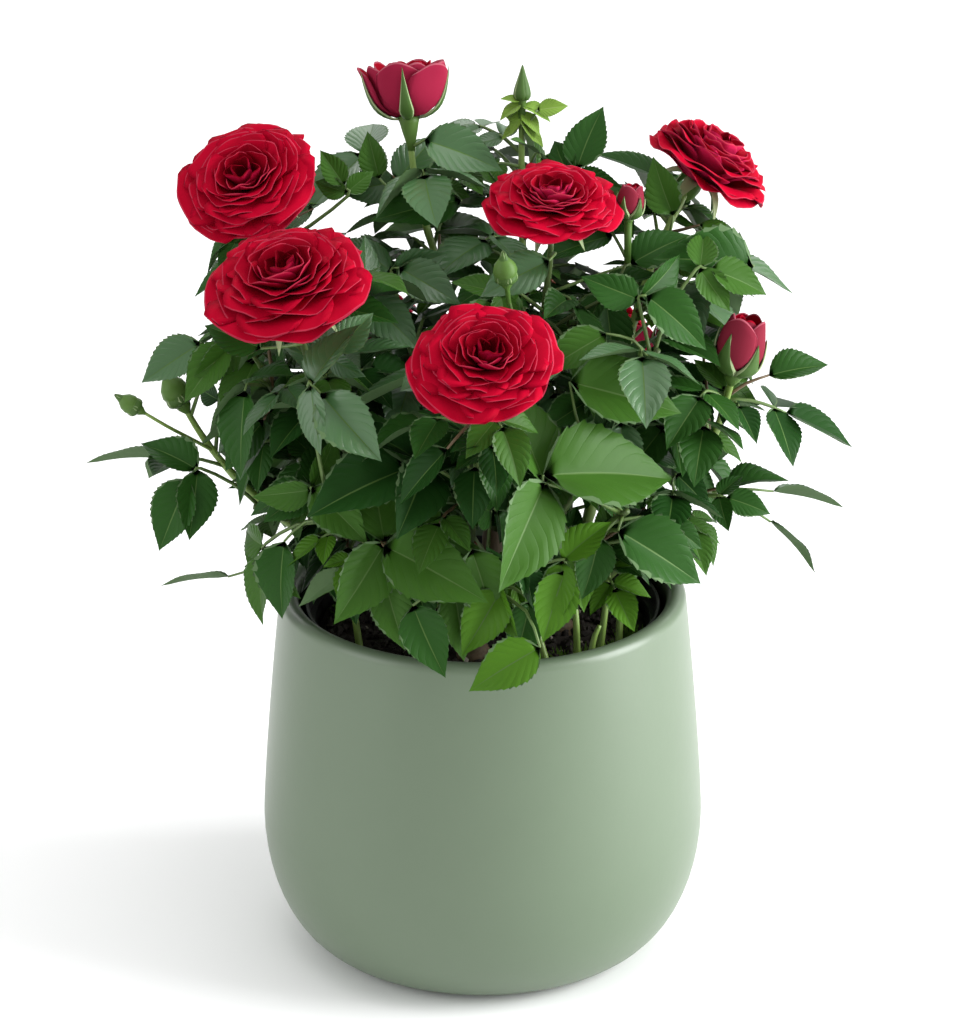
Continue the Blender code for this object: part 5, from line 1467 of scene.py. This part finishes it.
stalk_finish = plain_finish("leaf_stalks", (0.10, 0.17, 0.04), 0.5)
red_stalk = plain_finish("leaf_stalks_red", (0.11, 0.070, 0.030), 0.5)
print(len(GREENS), "greens")

# %% Which green a leaf takes
LARGE_LEAF = 42 * MM  # a last leaflet longer than this takes the middle green, no painted light or shade, unless it is the blue one


def green_of(shoot, leaf, rng):
    """Which green a leaf takes: bright ones low at the front as painted light, glossy ones on top, deep ones
    inside as painted shade.
    """
    end = leaf.leaflets[-1]
    low_front = end.base.y < -35 * MM and end.base.z < 185 * MM
    if shoot.name in ("top_bud", "top_cup") and end.base.z > 262 * MM and end.length < 15 * MM:
        return "leaf_fresh"
    # Painted light: the leaves lowest and furthest to the front take the bright green.
    if low_front and end.base.z < 132 * MM:
        return "leaf_bright" if end.base.z < 122 * MM else rng.choice(("leaf_bright", "leaf_mid"))
    if low_front and end.base.z < 152 * MM and -15 * MM < end.base.x < 32 * MM:
        dealt = rng.choice(("leaf_bright", "leaf_mid", "leaf_dark"))
        return "leaf_bright" if end.base.y < -75 * MM else dealt
    if low_front and end.length < 25 * MM:
        return rng.choice(("leaf_bright", "leaf_mid", "leaf_dark", "leaf_dark", "leaf_deep", "leaf_mid"))
    if low_front:
        return rng.choice(("leaf_dark", "leaf_mid", "leaf_dark"))
    if end.base.z > 212 * MM:
        small = "leaf_bright" if end.length < 20 * MM else "leaf_dark"
        return rng.choice(("leaf_blue", "leaf_mid", "leaf_dark", "leaf_blue", "leaf_mid", small))
    # Painted shade: the leaves inside the crown mostly take the deep and dark greens.
    return rng.choice(("leaf_deep", "leaf_deep", "leaf_dark", "leaf_dark", "leaf_blue", "leaf_mid"))

# %% Deal out the greens
def leaflet_place(leaflet):
    """Placement of a leaflet shape: +Y along the leaflet, +Z out of its upper face, scaled to its length."""
    side = leaflet.way.cross(leaflet.face).normalized()
    turned = Matrix((side, leaflet.way, leaflet.face)).transposed().to_4x4()
    return Matrix.Translation(leaflet.base) @ turned @ Matrix.Scale(leaflet.length, 4)


def add_shape(bm, shape, place):
    """Copies a mesh into a bmesh, moved to its place."""
    moved = shape.copy()
    moved.transform(place)
    bm.from_mesh(moved)
    bpy.data.meshes.remove(moved)


STALK_RADII = (0.75 * MM, 0.42 * MM)
REDDISH_SHARE = 0.15

sprays = {name: [] for name in GREENS}
stalks_bm = bmesh.new()
deal_rng = random.Random(31)
for shoot in SHOOTS:
    held = plant[shoot.name]
    for leaf in held["leaves"] + held["fillers"]:
        green = green_of(shoot, leaf, deal_rng)
        if leaf.leaflets[-1].length > LARGE_LEAF and green != "leaf_blue":
            green = "leaf_mid"
        sprays[green] += leaf.leaflets
        line = smoothed(leaf.spine, 2)
        reddish = 1 if deal_rng.random() < REDDISH_SHARE else 0
        add_tube(stalks_bm, line, taper(*STALK_RADII, len(line)), 5, reddish)
print({green: len(leaflets) for green, leaflets in sprays.items()})

# %% Young leaves round the topmost bud's neck
YOUNG_LEAVES = [  # the foot's height above the cane's end, the leaf's way as an offset, and its length, in mm
    (4.5, (-7.0, -2.0, -4.0), 9.5), (5.0, (-9.0, 0.0, 1.5), 7.5), (3.5, (9.0, -2.0, -3.5), 11.0),
    (1.5, (7.0, -4.0, -7.0), 10.0), (0.0, (5.0, -4.5, -8.0), 9.5), (1.0, (-5.0, -3.0, -7.5), 8.5),
    (3.0, (-5.5, 5.0, -5.0), 9.0), (3.5, (6.0, 6.0, -4.0), 9.5), (-3.0, (8.0, -3.0, -6.0), 10.5),
    (-2.5, (-7.0, -1.0, -5.0), 9.0),
]
neck = plant["top_bud"]["line"][-1]
for high, offset, length in YOUNG_LEAVES:
    way = Vector(offset).normalized()
    side = way.cross(UP).normalized()
    face = (side.cross(way) + Vector((0, -0.35, 0))).normalized()
    face = (face - way * face.dot(way)).normalized()
    foot = neck + Vector((0, 0, high)) * MM
    sprays["leaf_fresh"].append(Leaflet(foot, way, face, length * MM))
print(len(YOUNG_LEAVES), "young leaves")

# %% Place every leaflet
LEAF_EDGE = math.radians(100)  # where the two sheets of a blade meet
foliage_nodes = ["foliage_" + shoot.name for shoot in SHOOTS]
for green, leaflets in sprays.items():
    bm = bmesh.new()
    for leaflet in leaflets:
        add_shape(bm, deal_rng.choice(LEAFLET_SHAPES), leaflet_place(leaflet))
    fresh = green == "leaf_fresh"
    ribs, below = (fresh_midrib, fresh_underside) if fresh else (midrib_finish, underside_finish)
    finish_piece(
        green.replace("leaf_", "leaves_"), bm, [leaf_materials[green], ribs, below], foliage_nodes,
        recalculate=False, sharpest=LEAF_EDGE,
    )
finish_piece("leaf_stalks", stalks_bm, [stalk_finish, red_stalk], foliage_nodes)


# %% [markdown]
# ## One petal
#
# Every part of a rose flower is a leaf in disguise: sepals, petals, even the stamens that double roses turn
# into more petals. So one function makes them all. A petal has a centreline in the plane through the
# flower's axis, given by where it starts and ends and how steeply it leaves and arrives. Across it the
# petal is an arc: nearly flat on an outer petal, wrapped right round on one of the core. Its end is rounded
# or pointed by making the edges shorter than the middle, the edges roll back, and the rim waves. Like a
# leaf it is two sheets, velvety inside and paler outside, that share their rim.

# %% A petal's line
# start and end: (away from the axis, height); rise and fall: how steeply it leaves and arrives; reach: length
# of the curve's handles; width: half of the blade's; wrap: half of the arc across it; pointed: how much
# shorter the edges are; roll, wave and sway: how far the edges roll back, the rim waves and the tip leans.
Petal = namedtuple("Petal", "start end rise fall reach width wrap pointed roll wave sway")
PETAL_THICKNESS = 0.3 * MM
PETAL_COLUMNS = 9
# The last strip of a petal takes a paler colour, a painted highlight along its edge.
PETAL_ROWS = (0.0, 0.18, 0.36, 0.52, 0.66, 0.78, 0.89, 0.98, 1.0)  # along it; the last strip is the pale rim


def petal_line(petal, t):
    """A point (away from the axis, height) on the petal's centreline, and the unit way along it there."""
    span = math.hypot(petal.end[0] - petal.start[0], petal.end[1] - petal.start[1])
    a, d = Vector(petal.start), Vector(petal.end)
    b = a + Vector((math.cos(petal.rise), math.sin(petal.rise))) * span * petal.reach
    c = d - Vector((math.cos(petal.fall), math.sin(petal.fall))) * span * petal.reach
    s = 1 - t
    point = a * s**3 + b * (3 * s * s * t) + c * (3 * s * t * t) + d * t**3
    way = (b - a) * (s * s) + (c - b) * (2 * s * t) + (d - c) * (t * t)
    return point, way.normalized()


def petal_width(t):
    """Share of the petal's full width at t along it: narrow where it is held, widest near its rounded top."""
    widening = 0.84 * math.sin(math.pi / 2 * min(1, t / 0.70)) ** 1.1
    return 0.16 + widening - 0.34 * max(0.0, (t - 0.7) / 0.3) ** 2

# %% Petal maker
def petal_grid(petal, turn, rng):
    """Rows of points across a petal from its foot to its rim, in its flower's own frame."""
    phase, lean = rng.uniform(0, math.tau), rng.uniform(-1, 1) * petal.sway
    grid = []
    columns = PETAL_COLUMNS
    around = Matrix.Rotation(turn, 3, "Z")
    for share in PETAL_ROWS:
        line = []
        for column in range(columns + 1):
            a = 2 * column / columns - 1
            t = share * (1 - petal.pointed * abs(a) ** 2.2)
            centre, way = petal_line(petal, t)
            half = petal.width * petal_width(t)
            bow = half / petal.wrap
            inward = Vector((-way.y, way.x))
            lift = bow * (1 - math.cos(a * petal.wrap))
            edge = max(0.0, t - 0.45) / 0.55
            lift -= petal.roll * edge**2 * (abs(a) ** 3 + 0.55 * edge**2)
            lift += petal.wave * math.sin(4.2 * a + phase) * edge * edge
            flat = centre + inward * lift
            level = bow * math.sin(a * petal.wrap) + lean * t
            line.append(around @ Vector((flat.x, level, flat.y)))
        grid.append(line)
    return grid


def add_petal(bm, petal, place, turn, inner, outer, rim, rng):
    """Adds a closed two-sheet petal. inner, outer and rim are the numbers of its materials; rim paints a
    highlight on its last strip.
    """
    grid = petal_grid(petal, turn, rng)
    rows, columns = len(PETAL_ROWS) - 1, PETAL_COLUMNS
    front = [[bm.verts.new(place @ p) for p in line] for line in grid]
    back = []
    for row in range(rows + 1):
        line = []
        for column in range(columns + 1):
            if row in (0, rows) or column in (0, columns):
                line.append(front[row][column])
                continue
            along = grid[row + 1][column] - grid[row - 1][column]
            over = grid[row][column + 1] - grid[row][column - 1]
            outwards = over.cross(along).normalized()
            line.append(bm.verts.new(place @ (grid[row][column] + outwards * PETAL_THICKNESS)))
        back.append(line)
    for row in range(rows):
        for column in range(columns):
            cell = [(row, column), (row, column + 1), (row + 1, column + 1), (row + 1, column)]
            upper = bm.faces.new([front[r][c] for r, c in (cell[0], cell[3], cell[2], cell[1])])
            lower = bm.faces.new([back[r][c] for r, c in cell])
            # The last strip takes the rim colour: a painted highlight.
            at_rim = row == rows - 1
            upper.material_index = rim if at_rim else inner
            lower.material_index = rim if at_rim else outer


def upright(flower):
    """Placement of a flower: origin at the twig's tip, +Z along its axis."""
    side, over = across(flower.axis)
    turned = Matrix((side, over, flower.axis)).transposed().to_4x4()
    return Matrix.Translation(flower.base) @ turned


# %% [markdown]
# ## Petal colours
#
# Red roses look velvety because the inner face of a petal has tiny cone-shaped cells that trap glints and
# scatter light at the edge of its form. So the finish is rough, has almost no specular light and a trace of
# red sheen. The inner petals and the core are painted darker, painted shade where the petals shade each
# other. The outer face is pinker, and a paler strip along the very rim is a painted highlight.

# %% Petal finishes
PETAL_ROUGHNESS, PETAL_SPECULAR = 0.62, 0.03
PETAL_SHEEN, SHEEN_RED = 0.03, (1.0, 0.04, 0.12)


def petal_finish(name, colour):
    return plain_finish(name, colour, PETAL_ROUGHNESS, 0.0, PETAL_SHEEN, SHEEN_RED, specular=PETAL_SPECULAR)


RED, RED_DEEP, RED_INNER_SHADE, RED_CORE_SHADE, BACK_PINK, BACK_RED, RIM_HIGHLIGHT, CUP_BACK, BUD_BACK, PALE_RIM_HIGHLIGHT = range(10)
petal_materials = [
    petal_finish("petal_red", (0.400, 0.0008, 0.018)),
    petal_finish("petal_deep_red", (0.350, 0.0006, 0.015)),
    # The next two reds are painted shade: the inner petals' and the core's.
    petal_finish("petal_inner_shade", (0.280, 0.0005, 0.011)),
    petal_finish("petal_core_shade", (0.180, 0.0004, 0.007)),
    petal_finish("petal_back_pink", (0.440, 0.012, 0.064)),
    petal_finish("petal_back_crimson", (0.310, 0.003, 0.028)),
    # Painted highlight: this rim colour, and the pale rim colour of cups and buds below, stand for the glint
    # along petal edges.
    petal_finish("petal_rim_highlight", (0.400, 0.026, 0.055)),
    petal_finish("petal_back_cup", (0.270, 0.014, 0.042)),
    petal_finish("petal_back_bud", (0.190, 0.018, 0.034)),
    petal_finish("petal_pale_rim_highlight", (0.340, 0.075, 0.105)),
]
sepal_green = plain_finish("sepal_green", (0.055, 0.115, 0.024), 0.5, specular=0.2)
sepal_pale = plain_finish("sepal_pale", (0.30, 0.38, 0.19), 0.6, specular=0.2)
calyx_green = plain_finish("calyx_green", (0.075, 0.150, 0.028), 0.45, specular=0.2)
print(len(petal_materials), "petal finishes")

# %% [markdown]
# ## Sepals and the calyx
#
# Under each flower sits a little urn, the calyx tube that becomes the rose hip. Five long-pointed sepals
# stand on its rim. On a bud they clasp the petals; as it opens they fold down.

# %% What sepals each kind of flower has
SEPAL_PARTS = {  # start, tip, steepness there in degrees (leaving, arriving), reach, half width, wrap, turn
    "open": ((0.05, 0.07), (0.30, -0.12), 12, -55, 0.42, 0.056, 0.7, 20),
    "cup": ((0.09, 0.08), (0.500, 0.68), 8, 80, 0.47, 0.085, 0.5, 0),
    "red_bud": ((0.13, 0.04), (0.47, 0.92), 14, 97, 0.50, 0.270, 0.7, -35),
    "green_bud": ((0.17, 0.03), (0.04, 1.30), 4, 97, 0.42, 0.40, 0.9, 20),
    "young_bud": ((0.15, 0.03), (0.02, 1.85), 6, 93, 0.36, 0.36, 0.9, 20),
}
SEPAL_COLUMNS = (-1.0, -0.82, -0.35, 0.35, 0.82, 1.0)  # of the half width; the outer strips are pale
SEPAL_ROWS = 9
SEPAL_THICKNESS = 0.35 * MM
YOUNG_WIDTH = 7 * MM  # green buds narrower than this are young: slim, with a drawn-out tip


def look_of(flower):
    """The flower's kind, with young buds told from the other green ones."""
    return "young_bud" if flower.kind == "green_bud" and flower.width < YOUNG_WIDTH else flower.kind


def facing(place):
    """The turn, in a flower's own frame, that looks to the plant's front."""
    front = place.to_3x3().inverted() @ Vector((0, -1, 0))
    return math.atan2(front.y, front.x)


# %% Sepals
def add_sepals(bm, flower, rng):
    """Five sepals on the rim of the flower's calyx."""
    place, width = upright(flower), flower.width
    start, (away, high), rise, fall, reach, half, wrap, turn = SEPAL_PARTS[look_of(flower)]
    for k in range(5):
        jitter = rng.uniform(0.88, 1.06) if flower.kind != "green_bud" else 1.0
        petal = Petal(
            Vector(start) * width, Vector((away, high * jitter)) * width,
            math.radians(rise), math.radians(fall), reach, half * width, wrap, 0.0, 0.0, 0.0, 0.0,
        )
        first_turn = facing(place) + math.radians(turn)
        add_sepal(bm, petal, place, first_turn + math.tau * k / 5 + rng.uniform(-0.1, 0.1))


def sepal_width(t):
    """Share of a sepal's full width: widest a third of the way along, then drawn out to a long point."""
    if t < 0.34:
        return 0.45 + 0.55 * math.sin(math.pi / 2 * t / 0.34)
    return max(0.02, 1 - ((t - 0.34) / 0.66) ** 1.15)


def add_sepal(bm, petal, place, turn):
    """Adds one closed two-sheet sepal, green outside and pale inside and along its margins."""
    around = Matrix.Rotation(turn, 3, "Z")
    sheets = [[], []]
    rows, columns = SEPAL_ROWS, len(SEPAL_COLUMNS) - 1
    for row in range(rows + 1):
        centre, way = petal_line(petal, row / rows)
        bow = petal.width * sepal_width(row / rows) / petal.wrap
        inward = Vector((-way.y, way.x))
        for sheet, depth in zip(sheets, (0.0, SEPAL_THICKNESS)):
            line = []
            for a in SEPAL_COLUMNS:
                flat = centre + inward * (bow * (1 - math.cos(a * petal.wrap)) - depth)
                line.append(around @ Vector((flat.x, bow * math.sin(a * petal.wrap), flat.y)))
            sheet.append(line)
    front = [[bm.verts.new(place @ p) for p in line] for line in sheets[0]]
    back = [list(line) for line in front]
    for r in range(1, rows):
        for c in range(1, columns):
            back[r][c] = bm.verts.new(place @ sheets[1][r][c])
    for r in range(rows):
        for c in range(columns):
            cell = [(r, c), (r, c + 1), (r + 1, c + 1), (r + 1, c)]
            bm.faces.new([front[i][j] for i, j in (cell[0], cell[3], cell[2], cell[1])]).material_index = 1
            lower = bm.faces.new([back[i][j] for i, j in cell])
            lower.material_index = 1 if c in (0, columns - 1) else 0


# %% Calyx
CALYX_OUTLINES = {  # (away from the axis, height), as shares of the flower's width
    "open": [
        (0, -0.10), (0.026, -0.10), (0.050, -0.05), (0.060, 0.01), (0.052, 0.06), (0.075, 0.09), (0, 0.10),
    ],
    "cup": [
        (0, -0.26), (0.040, -0.26), (0.062, -0.14), (0.088, -0.04), (0.105, 0.04), (0.13, 0.12), (0, 0.14),
    ],
    "red_bud": [
        (0, -0.22), (0.06, -0.20), (0.15, -0.08), (0.18, 0.0), (0.15, 0.07), (0.19, 0.13), (0, 0.14),
    ],
    "green_bud": [
        (0.09, -0.26), (0.21, -0.08), (0.24, 0.02), (0.22, 0.10), (0.38, 0.28), (0.44, 0.48), (0.38, 0.72),
        (0.2, 0.95), (0, 1.06),
    ],
    "young_bud": [
        (0.19, -0.30), (0.22, -0.05), (0.24, 0.02), (0.20, 0.10), (0.30, 0.30), (0.36, 0.55), (0.30, 0.95),
        (0.14, 1.3), (0, 1.5),
    ],
}
CALYX_TURN_STEPS = 12
NECK_LENGTH = 0.30  # of a green bud's width, from its base down to its twig


def add_calyx(bm, flower, neck):
    """The urn under the petals, turned round the flower's axis. neck: how much stalk it has below it."""
    w = flower.width
    outline = CALYX_OUTLINES[look_of(flower)]
    if flower.kind == "green_bud":
        lowest = -NECK_LENGTH - neck / w
        outline = [(0, lowest), (outline[0][0], lowest)] + outline
    urn = spun([(r * w, z * w) for r, z in outline], CALYX_TURN_STEPS)
    bmesh.ops.recalc_face_normals(urn, faces=urn.faces)
    bmesh.ops.transform(urn, matrix=upright(flower), verts=urn.verts)
    for face in urn.faces:
        face.material_index = 2
    mesh = bpy.data.meshes.new("urn")
    urn.to_mesh(mesh)
    urn.free()
    bm.from_mesh(mesh)
    bpy.data.meshes.remove(mesh)


# %% [markdown]
# ## Open blooms
#
# Forty-six petals, again each 137.5 degrees on from the last, from the lowest, which are wide, nearly flat
# and turned down at the rim, to the core, where narrow petals stand up and wrap round each other into a
# spiral.

# %% Rows of petals
OPEN_STEPS = [  # share of the way in, tip (away, height), rise, fall, half width, wrap, roll
    (0.00, (0.500, 0.080), 10, -26, 0.290, 0.16, 0.034),
    (0.20, (0.475, 0.150), 20, -14, 0.280, 0.24, 0.036),
    (0.42, (0.395, 0.225), 38, 4, 0.250, 0.42, 0.034),
    (0.66, (0.275, 0.285), 60, 36, 0.205, 0.68, 0.026),
    (0.86, (0.155, 0.320), 78, 74, 0.150, 1.05, 0.012),
    (1.00, (0.045, 0.315), 88, 108, 0.085, 1.75, 0.003),
]


def between(steps, share):
    """The row of numbers at this share, between the rows of a table."""
    for low, high in zip(steps, steps[1:]):
        if share <= high[0]:
            t = (share - low[0]) / (high[0] - low[0])
            (away, height), (to_away, to_height) = low[1], high[1]
            tip = (away + (to_away - away) * t, height + (to_height - height) * t)
            return [tip] + [a + (b - a) * t for a, b in zip(low[2:], high[2:])]
    return list(steps[-1][1:])


print(len(OPEN_STEPS), "rows from the lowest petal to the core")

# %% How each flower is set
BRIGHTER_BLOOMS = ("upper_right_bloom", "top_middle_bloom")  # the blooms dealt only the brighter red inside and the pinker back
DOMED = {"upper_right_bloom": 1.4}  # how much higher than the others a bloom is domed

Setting = namedtuple("Setting", "rise share axis")  # height above the twig's end, share of the width, axis
AS_PLANNED = Setting(0.0, 1.0, None)
SETTINGS = {
    ("top_middle_bloom", "open"): Setting(6.4 * MM, 0.885, None),
    ("top_middle_bloom", "red_bud"): Setting(13.5 * MM, 1.0, None),
    ("top_middle_bloom", "green_bud"): Setting(5 * MM, 1.0, None),
    ("middle_bloom", "open"): Setting(3.0 * MM, 0.97, None),
    ("left_bloom", "open"): Setting(2.0 * MM, 1.02, None),
    ("upper_left_bloom", "open"): Setting(-1.0 * MM, 1.03, (-0.22, -0.59, 0.78)),
    ("upper_right_bloom", "open"): Setting(-2.0 * MM, 1.02, (0.53, -0.01, 0.85)),
    ("top_bud", "green_bud"): Setting(5 * MM, 1.0, None),
}


def settled(flower, shoot):
    """The flower at its final height, size and slant."""
    rise, share, axis = SETTINGS.get((shoot.name, flower.kind), AS_PLANNED)
    up = flower.axis if flower.kind == "green_bud" else UP
    axis = Vector(axis).normalized() if axis else flower.axis
    return flower._replace(base=flower.base + up * rise, width=flower.width * share, axis=axis)


# %% Open blooms
OPEN_PETALS = 46


def add_open_bloom(bm, flower, rng, brighter, dome):
    """An open bloom. s runs from 0 at its lowest petal to 1 at the core."""
    place, width = upright(flower), flower.width
    start_turn = rng.uniform(0, math.tau)
    for i in range(OPEN_PETALS):
        s = (i / (OPEN_PETALS - 1)) ** 0.9
        tip, rise, fall, half, wrap, roll = between(OPEN_STEPS, s)
        stretch = rng.uniform(0.92, 1.03) if s > 0.15 else rng.uniform(0.84, 1.03)
        petal = Petal(
            Vector((0.045 - 0.025 * s, 0.055 + 0.035 * s)) * width,
            Vector((tip[0] * stretch, tip[1] * dome + rng.uniform(-0.008, 0.008))) * width,
            math.radians(rise + rng.uniform(-2, 2)), math.radians(fall + rng.uniform(-10, 10)), 0.42,
            half * width * rng.uniform(0.84, 1.10), wrap * rng.uniform(0.95, 1.15), rng.uniform(0.08, 0.22),
            roll * width * rng.uniform(0.2, 1.7), (0.020 if s > 0.2 else 0.030) * width, 0.03 * width,
        )
        # Painted shade: the inner petals take a darker red, the core the darkest.
        if s > 0.74:
            inner = RED_CORE_SHADE if s > 0.90 else RED_INNER_SHADE
        else:
            inner = rng.choice((RED, RED if brighter else RED_DEEP))
        outer = BACK_PINK if brighter else BACK_RED if s > 0.3 else rng.choice((BACK_PINK, BACK_RED))
        turn = start_turn + i * LEAF_TURN + rng.uniform(-0.12, 0.12)
        # Painted highlight: all but the core petals take the rim colour along their edge.
        add_petal(bm, petal, place, turn, inner, outer, RIM_HIGHLIGHT if s < 0.9 else inner, rng)

# %% Cups and buds
CUP_STEPS = [  # as for the open blooms
    (0.00, (0.515, 0.72), 8, 72, 0.32, 0.72, 0.055),
    (0.45, (0.400, 0.74), 30, 80, 0.27, 0.90, 0.030),
    (1.00, (0.100, 0.70), 80, 100, 0.14, 1.70, 0.005),
]
BUD_STEPS = [
    (0.00, (0.33, 1.25), 12, 108, 0.48, 1.05, 0.040),
    (0.60, (0.26, 1.24), 30, 106, 0.38, 1.20, 0.030),
    (1.00, (0.09, 1.20), 70, 104, 0.22, 1.80, 0.000),
]
FIRST_TURN = {"cup": -0.75, "red_bud": 0.45}  # from the plant's front to the outermost petal


def add_cup(bm, flower, rng, steps, count, painted_shade_from):
    """A half-open flower or a coloured bud: upright petals that overlap like tiles round the core."""
    place, width = upright(flower), flower.width
    for i in range(count):
        s = i / (count - 1)
        tip, rise, fall, half, wrap, roll = between(steps, s)
        petal = Petal(
            Vector((0.07 - 0.03 * s, 0.10)) * width,
            Vector((tip[0] * rng.uniform(0.95, 1.02), tip[1] * rng.uniform(0.94, 1.02))) * width,
            math.radians(rise), math.radians(fall + rng.uniform(-5, 5)), 0.50,
            half * width, wrap, 0.14, roll * width, 0.012 * width, 0.01 * width,
        )
        # Painted shade: the inner petals of a cup or bud take the darker red.
        inner = RED_INNER_SHADE if s > painted_shade_from else RED_DEEP
        outer = CUP_BACK if flower.kind == "cup" else BUD_BACK
        turn = facing(place) + FIRST_TURN[flower.kind] + i * LEAF_TURN
        # Painted highlight: the outer petals of a cup or bud take the pale rim colour along their edge.
        add_petal(bm, petal, place, turn, inner, outer, PALE_RIM_HIGHLIGHT if s < 0.6 else inner, rng)

# %% Place every flower
CUP_PETALS, BUD_PETALS = 17, 8
FLOWER_STALK_RADII = (1.1 * MM, 1.4 * MM)
FLOWER_STALK_END = 0.08  # how far below a flower's base its stalk ends, of its width

bloom_rng = random.Random(3)
for shoot in SHOOTS:
    flowers = plant[shoot.name]["flowers"]
    if not flowers:
        continue
    petals_bm, greens_bm = bmesh.new(), bmesh.new()
    for planned in flowers:
        flower = settled(planned, shoot)
        stalk = (flower.base - planned.base).dot(UP)
        if stalk > 0 and flower.kind != "green_bud":
            foot = planned.base - planned.axis * MM
            top = flower.base - flower.axis * flower.width * FLOWER_STALK_END
            add_tube(greens_bm, [foot, top], FLOWER_STALK_RADII, TWIG_SIDES, 2)
        if flower.kind == "open":
            add_open_bloom(petals_bm, flower, bloom_rng, shoot.name in BRIGHTER_BLOOMS, DOMED.get(shoot.name, 1.0))
        elif flower.kind == "cup":
            add_cup(petals_bm, flower, bloom_rng, CUP_STEPS, CUP_PETALS, 0.5)
        elif flower.kind == "red_bud":
            add_cup(petals_bm, flower, bloom_rng, BUD_STEPS, BUD_PETALS, 0.4)
        add_sepals(greens_bm, flower, bloom_rng)
        add_calyx(greens_bm, flower, stalk if flower.kind == "green_bud" else 0.0)
    if len(petals_bm.verts):
        finish_piece(
            "petals_" + shoot.name, petals_bm, petal_materials, ["foliage_" + shoot.name],
            recalculate=False, sharpest=LEAF_EDGE,
        )
    else:
        petals_bm.free()
    finish_piece(
        "sepals_" + shoot.name, greens_bm, [sepal_green, sepal_pale, calyx_green],
        ["foliage_" + shoot.name], recalculate=False, sharpest=LEAF_EDGE,
    )
